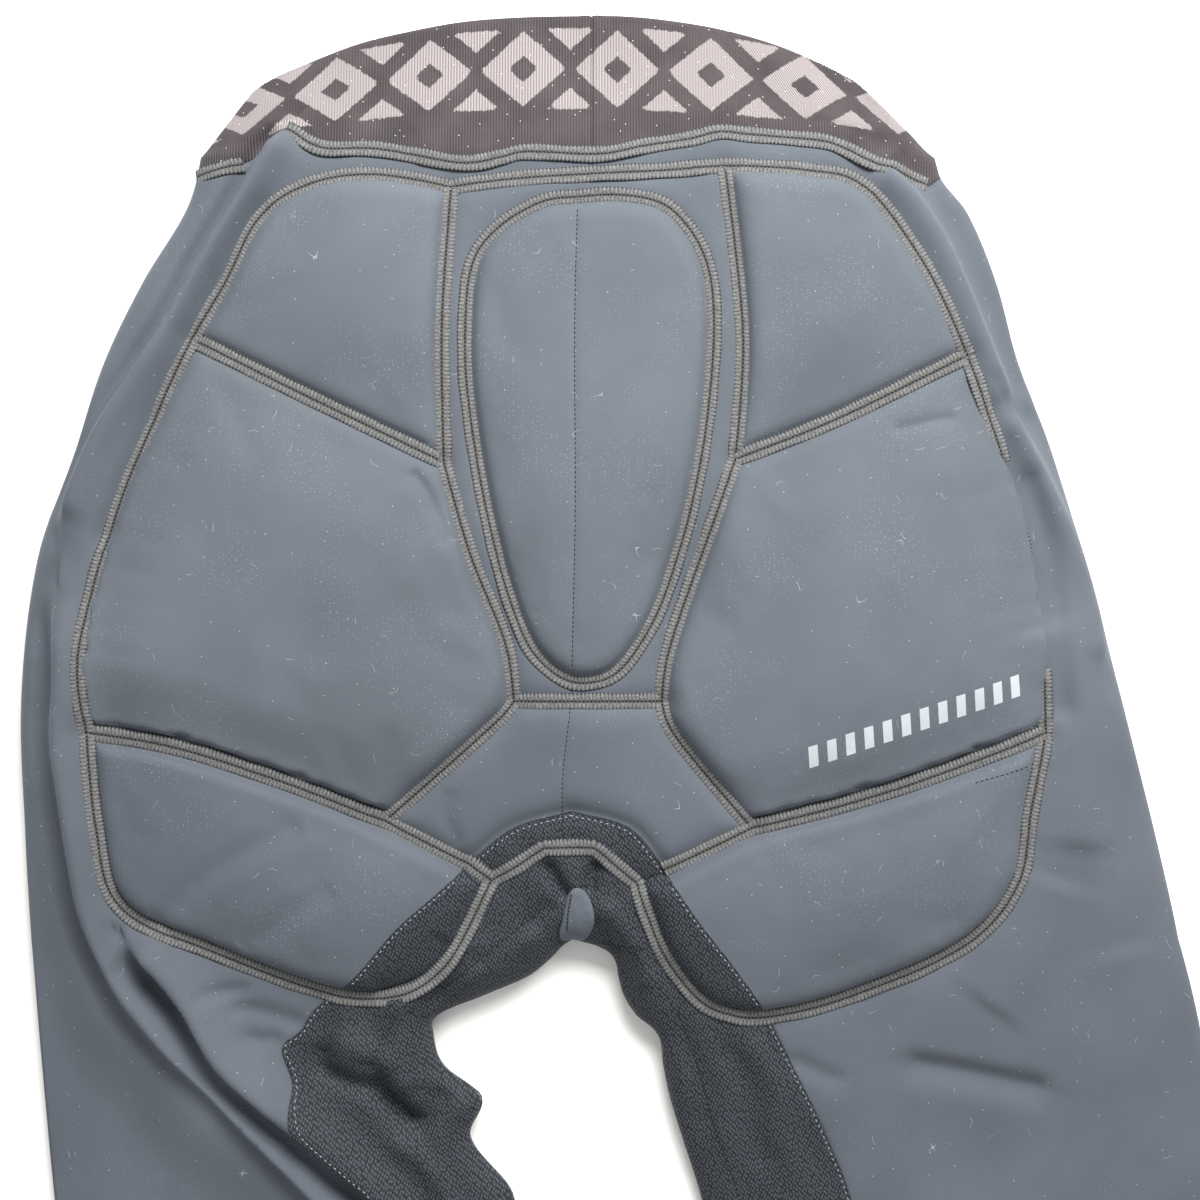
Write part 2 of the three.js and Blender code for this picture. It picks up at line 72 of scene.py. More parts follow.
# Side folds: down, left, right.
side_folds = np.array([
    (-1.0, -0.470, 0.385), (-0.48, -0.583, 0.520), (-0.2, -0.636, 0.588), (0.02, -0.678, 0.644),
    (0.07, -0.700, 0.694), (0.16, -0.775, 0.745), (0.26, -0.842, 0.783), (0.37, -0.893, 0.841),
    (0.51, -0.960, 0.900), (0.69, -0.991, 0.967), (0.88, -0.985, 1.034), (1.02, -0.974, 1.076),
    (1.24, -0.960, 1.118), (1.56, -0.937, 1.150), (2.0, -0.896, 1.125)])
# Inner leg folds: down, left, right.
inner_legs = np.array([
    (1.0, -0.011, -0.011), (1.012, -0.026, 0.034), (1.041, -0.048, 0.064), (1.082, -0.092, 0.072),
    (1.123, -0.170, 0.082), (1.164, -0.252, 0.104), (1.205, -0.258, 0.142), (1.274, -0.240, 0.152),
    (1.343, -0.172, 0.164), (1.431, -0.192, 0.186), (1.556, -0.116, 0.219), (1.77, -0.100, 0.262),
    (2.0, -0.108, 0.296)])
# Heights: down, crown (of loft), side fold (of fold_height), arch and dip of the rows (of band_height).
levels = np.array([
    (-1.0, 0.60, 0.75, 0.52, 0.22), (-0.5, 0.68, 0.80, 0.33, 0.18), (0.0, 0.80, 0.88, 0.16, 0.12),
    (0.15, 0.92, 1.00, 0.08, 0.06), (0.35, 1.00, 1.00, 0, 0), (0.6, 1.00, 1.00, 0, 0),
    (0.8, 0.92, 0.95, 0, 0), (1.0, 0.76, 0.90, 0, 0), (1.25, 0.62, 0.80, 0, 0),
    (1.6, 0.50, 0.65, 0, 0), (2.0, 0.42, 0.55, 0, 0)])
# The waist seam waves a little: x from the centre back, and y.
waist_wave = np.array([
    (-160, 172), (-150, 174), (-138, 176), (-130, 181), (-122, 189), (-116, 189), (-108, 184),
    (-100, 181.6), (-83, 181.6), (-67, 179), (-51, 175.8), (-41, 175.6), (-30, 178), (-20, 180),
    (9, 179), (28, 183), (46, 186), (57, 188.5), (68, 187.6), (84, 186.4), (100, 184.4),
    (110, 180.5), (121, 175), (142, 169), (155, 168)])


def level_of(down):
    down = np.asarray(down, float)
    return np.where(down < 0, waist - down * band_height,
                    np.where(down <= 1, waist - down * rise, crotch - (down - 1) * leg_length))


def down_of(y):
    y = np.asarray(y, float)
    return np.where(y > waist, (waist - y) / band_height,
                    np.where(y >= crotch, (waist - y) / rise, 1 + (crotch - y) / leg_length))


def place(spots):
    """Points in mm from pairs of across and down."""
    spots = np.asarray(spots, float)
    return np.stack([spots[:, 0] * half_hip, level_of(spots[:, 1])], 1)


def reading(rows, column, down):
    """A column of a table at any "down", on a smooth curve through its rows."""
    d, v = rows[:, 0], rows[:, column]
    n = np.arange(len(d))
    before, after = np.maximum(n - 1, 0), np.minimum(n + 1, len(d) - 1)
    slope = (v[after] - v[before]) / (d[after] - d[before])
    at = np.clip(down, d[0], d[-1])
    i = np.clip(np.searchsorted(d, at) - 1, 0, len(d) - 2)
    span = d[i + 1] - d[i]
    t = (at - d[i]) / span
    return ((2 * t**3 - 3 * t**2 + 1) * v[i] + (t**3 - 2 * t**2 + t) * span * slope[i]
            + (3 * t**2 - 2 * t**3) * v[i + 1] + (t**3 - t**2) * span * slope[i + 1])


def smooth_line(points, step, closed=False):
    """A curve through the points, as points about one step apart."""
    p = np.asarray(points, float)
    q = np.vstack([p[-1:], p, p[:2]]) if closed else np.vstack([p[:1], p, p[-1:]])
    t = np.linspace(0, 1, 16, endpoint=False)[:, None]
    bends = [0.5 * (2 * q[i + 1] + (q[i + 2] - q[i]) * t
                    + (2 * q[i] - 5 * q[i + 1] + 4 * q[i + 2] - q[i + 3]) * t**2
                    + (3 * q[i + 1] - q[i] - 3 * q[i + 2] + q[i + 3]) * t**3)
             for i in range(len(q) - 3)]
    fine = np.vstack(bends + [q[-2:-1]])
    run = np.concatenate([[0], np.cumsum(np.hypot(*np.diff(fine, axis=0)[:, :2].T))])
    count = max(2, int(round(run[-1] / step)) + 1)
    even = np.linspace(0, run[-1], count)
    line = np.stack([np.interp(even, run, fine[:, k]) for k in range(fine.shape[1])], 1)
    return line[:-1] if closed else line


def to_line(p, line):
    """Distance to a line, the side (+1 on the left of its direction), share along it, left normal."""
    a, d = line[:-1], line[1:] - line[:-1]
    squared = np.maximum((d**2).sum(1), 1e-12)
    run = np.concatenate([[0], np.cumsum(np.sqrt(squared))])
    tangent = d / np.sqrt(squared)[:, None]
    distance, side, share = np.empty(len(p)), np.empty(len(p)), np.empty(len(p))
    normal = np.empty((len(p), 2))
    step = max(1, 3000000 // len(a))
    for k in range(0, len(p), step):
        off = p[k:k + step, None, :2] - a[None]
        t = np.clip((off * d).sum(2) / squared, 0, 1)
        away = ((off - t[..., None] * d)**2).sum(2)
        j = away.argmin(1)
        n = np.arange(len(j))
        cross = d[j, 0] * off[n, j, 1] - d[j, 1] * off[n, j, 0]
        distance[k:k + step] = np.sqrt(away[n, j])
        side[k:k + step] = np.where(cross >= 0, 1, -1)
        share[k:k + step] = (run[j] + t[n, j] * np.sqrt(squared[j])) / run[-1]
        normal[k:k + step] = np.stack([-tangent[j, 1], tangent[j, 0]], 1)
    return distance, side, share, normal


def near(p, line, reach):
    """Numbers of the points that may lie within reach of a line."""
    low, high = line[:, :2].min(0) - reach, line[:, :2].max(0) + reach
    return np.flatnonzero(((p[:, :2] > low) & (p[:, :2] < high)).all(1))


def gap_to(p, outline):
    """Distance to a closed outline, positive inside it and negative outside."""
    loop = np.vstack([outline, outline[:1]])
    inside = np.zeros(len(p), bool)
    for (x0, y0), (x1, y1) in zip(loop[:-1], loop[1:]):
        if y0 != y1:
            crosses = (y0 > p[:, 1]) != (y1 > p[:, 1])
            inside ^= crosses & (p[:, 0] < (x1 - x0) * (p[:, 1] - y0) / (y1 - y0) + x0)
    return np.where(inside, 1, -1) * to_line(p, loop)[0]


def eased(t):
    t = np.clip(t, 0, 1)
    return t * t * (3 - 2 * t)


def rounding(distance, roll):
    """A quarter round: 0 at an edge, 1 from the roll inwards."""
    return np.sqrt(1 - (1 - np.clip(distance / roll, 0, 1))**2)


def tapered(share, run, start):
    """Fades a form out towards both ends of its line."""
    return eased(share / run + start) * eased((1 - share) / run + start)


def headings(line):
    """Unit vectors along a line of points, and to its left."""
    tangent = np.gradient(line, axis=0)
    tangent /= np.maximum(np.hypot(*tangent.T), 1e-9)[:, None]
    return tangent, np.stack([-tangent[:, 1], tangent[:, 0]], 1)


def outer_edge(side, y):
    return half_hip * reading(side_folds, 1 if side < 0 else 2, down_of(y))


def centre_line(y):
    return half_hip * inner_legs[0, 1] * np.clip(down_of(y), 0, 1)


def inner_edge(side, y):
    leg = half_hip * reading(inner_legs, 1 if side < 0 else 2, down_of(y))
    return np.where(y >= crotch, centre_line(y), leg)


leg_downs = np.linspace(1, 2, 60)
inner_lines = [np.stack([inner_edge(side, level_of(leg_downs)), level_of(leg_downs)], 1)
               for side in (-1, 1)]


def to_outer(p):
    """Distance inwards from the side folds."""
    return np.minimum(p[:, 0] - outer_edge(-1, p[:, 1]), outer_edge(1, p[:, 1]) - p[:, 0])


def to_inner(p):
    """Distance to the nearer inner leg fold."""
    return np.minimum(to_line(p, inner_lines[0])[0], to_line(p, inner_lines[1])[0])


# Seams of the padded back: where they meet, and the places that each runs through.
corners = {
    "hip_left": (-0.674, 0.238), "top_left": (-0.221, 0.047), "top_right": (0.257, 0.02),
    "hip_right": (0.678, 0.26), "tail_left": (-0.232, 0.394), "tail_right": (0.274, 0.39),
    "yoke_left": (-0.11, 0.692), "yoke_right": (0.146, 0.692), "seat_left": (-0.856, 0.732),
    "seat_right": (0.816, 0.732), "foot_left": (-0.336, 0.843), "foot_right": (0.304, 0.852),
    "gusset_left": (-0.19, 0.897), "gusset_right": (0.15, 0.904), "crotch_left": (-0.151, 0.918),
    "crotch_right": (0.103, 0.921), "gusset_peak": (-0.011, 0.832)}
seam_stops = {
    "top_arc_left": ("hip_left", (-0.613, 0.164), (-0.553, 0.082), (-0.464, 0.042), (-0.35, 0.032),
                     "top_left"),
    "top_middle": ("top_left", (-0.09, 0.036), (0.1, 0.029), "top_right"),
    "top_arc_right": ("top_right", (0.4, 0.026), (0.5, 0.046), (0.598, 0.14), "hip_right"),
    "tail_left_upper": ("top_left", (-0.235, 0.22), "tail_left"),
    "tail_right_upper": ("top_right", (0.287, 0.23), "tail_right"),
    "tail_left_lower": ("tail_left", (-0.185, 0.51), (-0.125, 0.62), "yoke_left"),
    "tail_right_lower": ("tail_right", (0.225, 0.49), (0.16, 0.625), "yoke_right"),
    "yoke_top": ("yoke_left", "yoke_right"),
    "hip_seam_left": ("hip_left", (-0.48, 0.308), "tail_left"),
    "hip_seam_right": ("tail_right", (0.45, 0.34), "hip_right"),
    "outer_left": ("hip_left", (-0.797, 0.438), (-0.861, 0.62), "seat_left"),
    "outer_right": ("hip_right", (0.755, 0.43), (0.802, 0.6), "seat_right"),
    "seat_seam_left": ("seat_left", (-0.7, 0.75), (-0.53, 0.789), "foot_left"),
    "seat_seam_right": ("foot_right", (0.487, 0.818), (0.653, 0.778), "seat_right"),
    "yoke_side_left": ("yoke_left", (-0.15, 0.724), "foot_left"),
    "yoke_side_right": ("yoke_right", (0.172, 0.738), "foot_right"),
    "thigh_top_left": ("foot_left", "gusset_left"),
    "thigh_top_right": ("gusset_right", "foot_right"),
    "gusset_side_left": ("gusset_left", "crotch_left"),
    "gusset_side_right": ("crotch_right", "gusset_right"),
    "gusset_arc_left": ("gusset_left", (-0.11, 0.852), "gusset_peak"),
    "gusset_arc_right": ("gusset_peak", (0.09, 0.852), "gusset_right"),
    "thigh_hem_left": ("seat_left", (-0.838, 0.85), (-0.8, 0.95), (-0.657, 1.006),
                       (-0.458, 1.098), (-0.33, 1.112), (-0.23, 1.04), "crotch_left"),
    "thigh_hem_right": ("crotch_right", (0.121, 0.96), (0.155, 1.03), (0.21, 1.115),
                        (0.261, 1.147), (0.34, 1.154), (0.487, 1.108), (0.681, 1.0),
                        (0.77, 0.92), (0.79, 0.83), "seat_right"),
    "crotch_seam": ("crotch_left", (-0.106, 0.899), (-0.066, 0.88), (-0.05, 0.876), (0.02, 0.876),
                    (0.036, 0.88), (0.071, 0.901), "crotch_right")}
seams = {name: smooth_line(place([corners[s] if isinstance(s, str) else s for s in stops]), seam_step)
         for name, stops in seam_stops.items()}
oval_seam = smooth_line(place([
    (0.001, 0.061), (-0.061, 0.067), (-0.125, 0.092), (-0.169, 0.124), (-0.188, 0.16), (-0.194, 0.21),
    (-0.194, 0.277), (-0.184, 0.345), (-0.169, 0.413), (-0.149, 0.481), (-0.125, 0.548),
    (-0.092, 0.612), (-0.061, 0.644), (-0.023, 0.664), (0.013, 0.669), (0.058, 0.661), (0.096, 0.634),
    (0.139, 0.581), (0.171, 0.517), (0.197, 0.449), (0.221, 0.359), (0.235, 0.26), (0.235, 0.186),
    (0.221, 0.137), (0.19, 0.097), (0.146, 0.069), (0.077, 0.059)]), seam_step, closed=True)
oval_loop = np.vstack([oval_seam, oval_seam[:1]])
waist_seam = smooth_line(waist_wave[1:-1], 2.0)


def run_of(*names):
    """One line along the seams named; a seam that starts with a minus runs backwards."""
    runs = [seams[n[1:]][::-1] if n[0] == "-" else seams[n] for n in names]
    return np.vstack([runs[0]] + [run[1:] for run in runs[1:]])


def outline_of(*names):
    """A closed outline along the seams named, whose last point isn't given again."""
    return run_of(*names)[:-1]


padded_back = outline_of(
    "top_arc_left", "top_middle", "top_arc_right", "outer_right", "-thigh_hem_right",
    "gusset_side_right", "-gusset_arc_right", "-gusset_arc_left", "gusset_side_left",
    "-thigh_hem_left", "-outer_left")
thigh_outlines = {
    "left": outline_of("seat_seam_left", "thigh_top_left", "gusset_side_left", "-thigh_hem_left"),
    "right": outline_of("thigh_hem_right", "-seat_seam_right", "-thigh_top_right",
                        "-gusset_side_right")}

# Edge of the mesh knit at each inner leg, from the gusset's corner to beyond the hem.
knit_edges = {
    "left": smooth_line(place([
        (-0.19, 0.897), (-0.243, 0.93), (-0.314, 0.975), (-0.393, 1.069), (-0.46, 1.137),
        (-0.49, 1.19), (-0.52, 1.215), (-0.518, 1.24), (-0.5, 1.293), (-0.5, 1.353),
        (-0.48, 1.415), (-0.405, 1.498), (-0.36, 1.56), (-0.35, 1.75), (-0.36, 2.02)]), 3),
    "right": smooth_line(place([
        (0.15, 0.904), (0.166, 0.919), (0.215, 0.97), (0.276, 1.045), (0.329, 1.141),
        (0.373, 1.247), (0.417, 1.354), (0.452, 1.45), (0.479, 1.535), (0.53, 1.75),
        (0.56, 2.02)]), 3)}

# Folds: height, width of the gentle flank, width of the steep one, how far the crest leans over the
# steep one, side of the steep flank (+1 on the left of the crest's direction), and the crest.
folds = [
    # The ridge over the left hip, and the valley inside it.
    (9.0, 7, 3.2, 2.2, -1, [(-0.508, -0.136), (-0.548, 0.022), (-0.586, 0.072), (-0.647, 0.147),
     (-0.708, 0.228), (-0.769, 0.291), (-0.83, 0.353), (-0.873, 0.416), (-0.899, 0.466)]),
    (-4.0, 4.5, 4.5, 0, 1, [(-0.535, 0.06), (-0.578, 0.108), (-0.634, 0.188), (-0.68, 0.258),
     (-0.735, 0.335), (-0.79, 0.42), (-0.836, 0.505)]),
    # The fold down the right side, in two lengths.
    (6.0, 9, 4.5, 2.0, 1, [(0.526, 0.022), (0.569, 0.051), (0.604, 0.085), (0.63, 0.116),
     (0.661, 0.166), (0.691, 0.216), (0.72, 0.268), (0.751, 0.316)]),
    (6.5, 6, 4.5, 1.5, 1, [(0.749, 0.335), (0.796, 0.392), (0.839, 0.447), (0.88, 0.5),
     (0.909, 0.56), (0.922, 0.64)]),
    # The left leg's long crest, the second crest inside it and the valley between them.
    (8.0, 10, 3.8, 1.6, -1, [(-0.904, 0.56), (-0.899, 0.668), (-0.905, 0.74), (-0.892, 0.813),
     (-0.872, 0.901), (-0.857, 0.957), (-0.829, 1.015), (-0.788, 1.111), (-0.744, 1.179),
     (-0.694, 1.245), (-0.592, 1.372), (-0.487, 1.499), (-0.4, 1.62), (-0.33, 1.75), (-0.27, 1.9),
     (-0.21, 2.06)]),
    (9.5, 9, 3.4, 2.0, -1, [(-0.775, 0.994), (-0.724, 1.058), (-0.68, 1.133), (-0.624, 1.247),
     (-0.555, 1.326), (-0.488, 1.396), (-0.418, 1.471), (-0.355, 1.535), (-0.277, 1.65),
     (-0.23, 1.78)]),
    (-3.0, 4.5, 4.5, 0, 1, [(-0.77, 1.06), (-0.7, 1.15), (-0.64, 1.25), (-0.56, 1.35),
     (-0.44, 1.46), (-0.37, 1.545), (-0.3, 1.66)]),
    # Small creases below the left thigh pad, and two across the right leg.
    (-1.8, 3, 3, 0, 1, [(-0.61, 1.135), (-0.552, 1.148), (-0.485, 1.174)]),
    (-1.6, 3, 3, 0, 1, [(-0.583, 1.201), (-0.553, 1.21), (-0.523, 1.203)]),
    (-1.8, 3, 3, 0, 1, [(-0.664, 1.107), (-0.627, 1.103), (-0.583, 1.097)]),
    (-3.4, 7, 4, 0, 1, [(0.579, 1.253), (0.658, 1.27), (0.747, 1.292), (0.826, 1.313)]),
    (-1.6, 4, 3, 0, 1, [(0.375, 1.243), (0.419, 1.27), (0.464, 1.296)]),
    # Soft swells down the right side and leg.
    (2.6, 15, 12, 0, 1, [(0.848, 0.919), (0.804, 1.013), (0.725, 1.141)]),
    (3.4, 14, 11, 0, 1, [(0.828, 0.591), (0.872, 0.692), (0.889, 0.792), (0.881, 0.881)]),
    (2.4, 20, 14, 0, 1, [(0.96, 1.0), (0.99, 1.2), (0.96, 1.45), (0.93, 1.7)]),
    # The crumple and the long creases of the left knit panel.
    (-4.5, 4, 4, 0, 1, [(-0.361, 1.24), (-0.35, 1.292), (-0.329, 1.343), (-0.283, 1.39),
     (-0.251, 1.356), (-0.24, 1.313)]),
    (-4.0, 4, 3.5, 0, 1, [(-0.445, 1.219), (-0.451, 1.266), (-0.407, 1.296), (-0.346, 1.32),
     (-0.283, 1.392)]),
    (4.5, 9, 6, 0, 1, [(-0.43, 1.205), (-0.385, 1.228), (-0.335, 1.27)]),
    (4.0, 9, 8, 0, 1, [(-0.25, 1.14), (-0.3, 1.22), (-0.29, 1.31)]),
    (3.5, 6, 4, 1.0, -1, [(-0.2, 1.01), (-0.26, 1.085), (-0.33, 1.14)]),
    (-3.0, 5, 4, 0, 1, [(-0.17, 1.02), (-0.225, 1.08), (-0.245, 1.13)]),
    (3.0, 5, 4, 0, 1, [(-0.33, 1.42), (-0.27, 1.47), (-0.22, 1.56), (-0.19, 1.7)]),
    # The creases of the right knit panel.
    (-2.0, 5, 5, 0, 1, [(0.13, 1.02), (0.165, 1.11), (0.2, 1.24), (0.228, 1.4)]),
    (2.2, 7, 6, 0, 1, [(0.3, 1.2), (0.35, 1.33), (0.38, 1.48), (0.4, 1.65)]),
    (-1.6, 5, 5, 0, 1, [(0.262, 1.22), (0.3, 1.33), (0.325, 1.48)]),
    # The tucks on each side of the crotch tab, and the folds that fan out from them.
    (-4.2, 2.6, 2.6, 0, 1, [(-0.054, 0.895), (-0.034, 0.922), (-0.018, 0.94)]),
    (-4.2, 2.6, 2.6, 0, 1, [(0.036, 0.895), (0.024, 0.915), (0.02, 0.935)]),
    (-2.4, 3.5, 3, 0, 1, [(-0.04, 0.945), (-0.1, 0.985), (-0.16, 1.045)]),
    (2.8, 6, 4, 0, 1, [(-0.07, 0.985), (-0.13, 1.02), (-0.19, 1.085)]),
    (2.6, 6, 4, 0, 1, [(0.05, 0.945), (0.095, 1.0), (0.13, 1.09)]),
    (-2.4, 4, 3, 0, 1, [(0.042, 0.975), (0.075, 1.03), (0.098, 1.11)]),
    # The hollow under the right seat pad's outer edge.
    (-4.2, 6, 6, 0, 1, [(0.785, 0.4), (0.822, 0.52), (0.838, 0.61), (0.846, 0.72)]),
]
fold_lines = [(*fold[:5], smooth_line(place(fold[5]), seam_step)) for fold in folds]
leg_crest = fold_lines[4][5]  # the long crest, which has a slope of its own
# Ripples: height, the two parts of the wave's direction, and phase.
ripple_count = 14
ripples = [(a, *(w * np.array([math.cos(t), math.sin(t)])), f) for a, w, t, f in zip(
    chance.uniform(0.1, 0.32, ripple_count), 2 * np.pi / chance.uniform(34, 110, ripple_count),
    chance.uniform(0, np.pi, ripple_count), chance.uniform(0, 6.28, ripple_count))]
channels = [*seams.values(), oval_loop, waist_seam]


def drape(p):
    """The back cloth over points in plan: folds, ripples and the channels where the seams sit."""
    p = np.asarray(p, float)[:, :2]
    x, y = p.T
    down = down_of(y)
    left, right = outer_edge(-1, y), outer_edge(1, y)
    outer = np.maximum(np.minimum(x - left, right - x), 0)
    turn = rounding(outer, side_roll) * rounding(to_inner(p), leg_roll)
    off_centre = (2 * x - left - right) / (right - left)
    crown = loft * reading(levels, 1, down) * (1 - crown_fall * off_centre**2)
    edge = fold_height * reading(levels, 2, down)
    relief = sum(a * np.sin(u * x + v * y + f) for a, u, v, f in ripples)
    shift = np.zeros((len(p), 2))
    for height, gentle, steep, lean, hand, line in fold_lines:
        k = near(p, line, 2.6 * max(gentle, steep))
        if len(k):
            distance, side, share, normal = to_line(p[k], line)
            beyond = distance * side * hand
            swell = np.exp(-(distance / np.where(beyond > 0, steep, gentle))**2)
            if lean:
                # A crest that leans has a hollow under it, which the leg's long crest soon loses.
                hollow = 0.75 - (0.62 * eased((share - 0.30) / 0.25) if line is leg_crest else 0)
                swell -= hollow * np.exp(-((beyond - 2.4 * steep) / (1.4 * steep))**2)
            swell = swell * tapered(share, 0.08, 0.35)
            relief[k] += height * swell
            shift[k] += (hand * lean * np.maximum(swell, 0))[:, None] * normal
    # Outside the left leg's long crest the cloth falls away in one broad slope.
    k = near(p, leg_crest, 70)
    if len(k):
        distance, side, share, _ = to_line(p[k], leg_crest)
        fall = eased(distance / slope_width) * (side < 0) * eased(share / 0.3)
        relief[k] -= slope_share * (crown - edge)[k] * fall
    for line in channels:
        k = near(p, line, 2 * channel_width)
        if len(k):
            relief[k] -= channel_depth * np.exp(-(to_line(p[k], line)[0] / channel_width)**2)
    z = edge + (crown - edge + relief) * turn
    return np.column_stack([p + shift * turn[:, None], z])


def half_layer(side, is_back, rows, columns):
    """One half of the back or front cloth as rows of points, from the side fold inwards."""
    down = np.asarray(rows, float)[:, None]
    arch, dip = band_height * reading(levels, 3, down), band_height * reading(levels, 4, down)
    side_y = level_of(down) - np.where(down <= 1, arch, 0)
    outer_x = outer_edge(side, side_y)
    turn = np.arange(columns + 1)[None, :] / columns
    share = 0.75 * (1 - np.cos(np.pi / 2 * turn)) + 0.25 * turn
    climb = 1 - (1 - share)**arch_power
    y = side_y + np.where(down < 1, (arch if is_back else -dip) * climb, 0)
    inner_x = np.where(down < 1, centre_line(y), inner_edge(side, np.broadcast_to(side_y, y.shape)))
    x = outer_x + (inner_x - outer_x) * share
    if is_back:
        # Near the waist seam the rows take up its waves, which fade out below it and up the band.
        below, above, at_side = 0.14, 0.55, 0.05
        plain = waist - band_height * seam_arch * np.clip(np.abs(x) / seam_half, 0, 1)**arch_power
        wave = np.interp(x, *waist_wave.T) - plain
        fade = np.where(down >= 0, np.clip(1 - down / below, 0, 1), np.clip(1 + down / above, 0, 1))
        y = y + wave * eased(fade) * eased(share / at_side)
    p = np.stack([x.ravel(), y.ravel()], 1)
    if is_back:
        points = drape(p)
    else:
        edge = fold_height * reading(levels, 2, down_of(p[:, 1]))
        turned = rounding(np.maximum(to_outer(p), 0), front_roll) * rounding(to_inner(p), front_roll)
        points = np.column_stack([p, edge * (1 - turned)])
    grid = points.reshape(*x.shape, 3)
    grid[:, 0, 2] = (fold_height * reading(levels, 2, down_of(side_y)))[:, 0]
    return grid


def grid_faces(rows, columns, flipped=False):
    n = np.arange(rows * columns).reshape(rows, columns)
    quads = np.stack([n[:-1, :-1], n[1:, :-1], n[1:, 1:], n[:-1, 1:]], -1).reshape(-1, 4)
    return quads[:, ::-1] if flipped else quads


def joined(parts):
    """Several (points, faces) as one, with points that coincide made one."""
    start = np.cumsum([0] + [len(p) for p, _ in parts])
    points = np.vstack([p for p, _ in parts])
    faces = np.vstack([f + s for (_, f), s in zip(parts, start)])
    _, first, number = np.unique(np.round(points * 50).astype(np.int64), axis=0,
                                 return_index=True, return_inverse=True)
    faces = number.reshape(-1)[faces]
    kept = [tuple(f[f != g]) for f, g in zip(faces, np.roll(faces, -1, 1))]
    return points[first], [f for f in kept if len(set(f)) > 2]


def normals_of(points, faces):
    total = np.zeros_like(points)
    for size in {len(f) for f in faces}:
        some = np.array([f for f in faces if len(f) == size])
        a, b = points[some[:, 2]] - points[some[:, 0]], points[some[:, -1]] - points[some[:, 1]]
        if size == 3:
            a, b = points[some[:, 1]] - points[some[:, 0]], points[some[:, 2]] - points[some[:, 0]]
        face = np.cross(a, b)
        for k in range(size):
            np.add.at(total, some[:, k], face)
    return total / np.maximum(np.linalg.norm(total, axis=1), 1e-9)[:, None]


def rim_of(faces):
    """The open edges of a mesh, each in the direction of its face."""
    edges = {(f[k], f[(k + 1) % len(f)]) for f in faces for k in range(len(f))}
    return [edge for edge in edges if edge[::-1] not in edges]


def walled(points, faces, depth):
    """A closed wall of cloth: the face, the same face moved inwards, and the rims between them."""
    n = len(points)
    inner = points - normals_of(points, faces) * depth
    back = [tuple(k + n for k in reversed(f)) for f in faces]
    rims = [(b, a, a + n, b + n) for a, b in rim_of(faces)]
    return np.vstack([points, inner]), faces + back + rims


def make(name, points, faces, material, **marks):
    """A mesh object in metres, with a value at each point for every mark that its material reads."""
    mesh = bpy.data.meshes.new(name)
    mesh.from_pydata((np.asarray(points) / 1000).tolist(), [], [list(map(int, f)) for f in faces])
    mesh.polygons.foreach_set("use_smooth", [True] * len(mesh.polygons))
    for mark, values in marks.items():
        full = np.zeros(len(points), np.float32)
        full[:len(values)] = values
        mesh.attributes.new(mark, "FLOAT", "POINT").data.foreach_set("value", full)
    mesh.materials.append(material)
    thing = bpy.data.objects.new(name, mesh)
    bpy.context.scene.collection.objects.link(thing)
    return thing


def linear(code):
    """An sRGB hex colour as the linear values that Blender works in."""
    parts = [int(code[k:k + 2], 16) / 255 for k in (1, 3, 5)]
    return (*(c / 12.92 if c <= 0.04045 else ((c + 0.055) / 1.055)**2.4 for c in parts), 1)


def add(tree, kind, settings=(), links=()):
    """A node with its settings, by name, and its links, as (input, node, output). A colour ramp's
    setting "stops" is a list of places and hex colours."""
    made = tree.nodes.new("ShaderNode" + kind)
    for key, value in dict(settings).items():
        if key == "stops":
            (first, *middle, last), ends = value, made.color_ramp.elements
            ends[0].position, ends[0].color = first[0], linear(first[1])
            ends[1].position, ends[1].color = last[0], linear(last[1])
            for at, code in middle:
                made.color_ramp.elements.new(at).color = linear(code)
        elif isinstance(key, str) and hasattr(made, key):
            setattr(made, key, value)
        else:
            made.inputs[key].default_value = value
    for socket, source, output in links:
        tree.links.new(source.outputs[output], made.inputs[socket])
    return made


def cloth_material(name, sheen, roughness):
    material = bpy.data.materials.new(name)
    material.use_nodes = True
    tree = material.node_tree
    surface = tree.nodes["Principled BSDF"]
    for key, value in {"Roughness": roughness, "IOR": 1.5, "Specular IOR Level": 0.3,
                       "Sheen Weight": sheen, "Sheen Roughness": 0.45,
                       "Sheen Tint": linear("#aeb8c4")}.items():
        surface.inputs[key].default_value = value
    return material, tree, surface


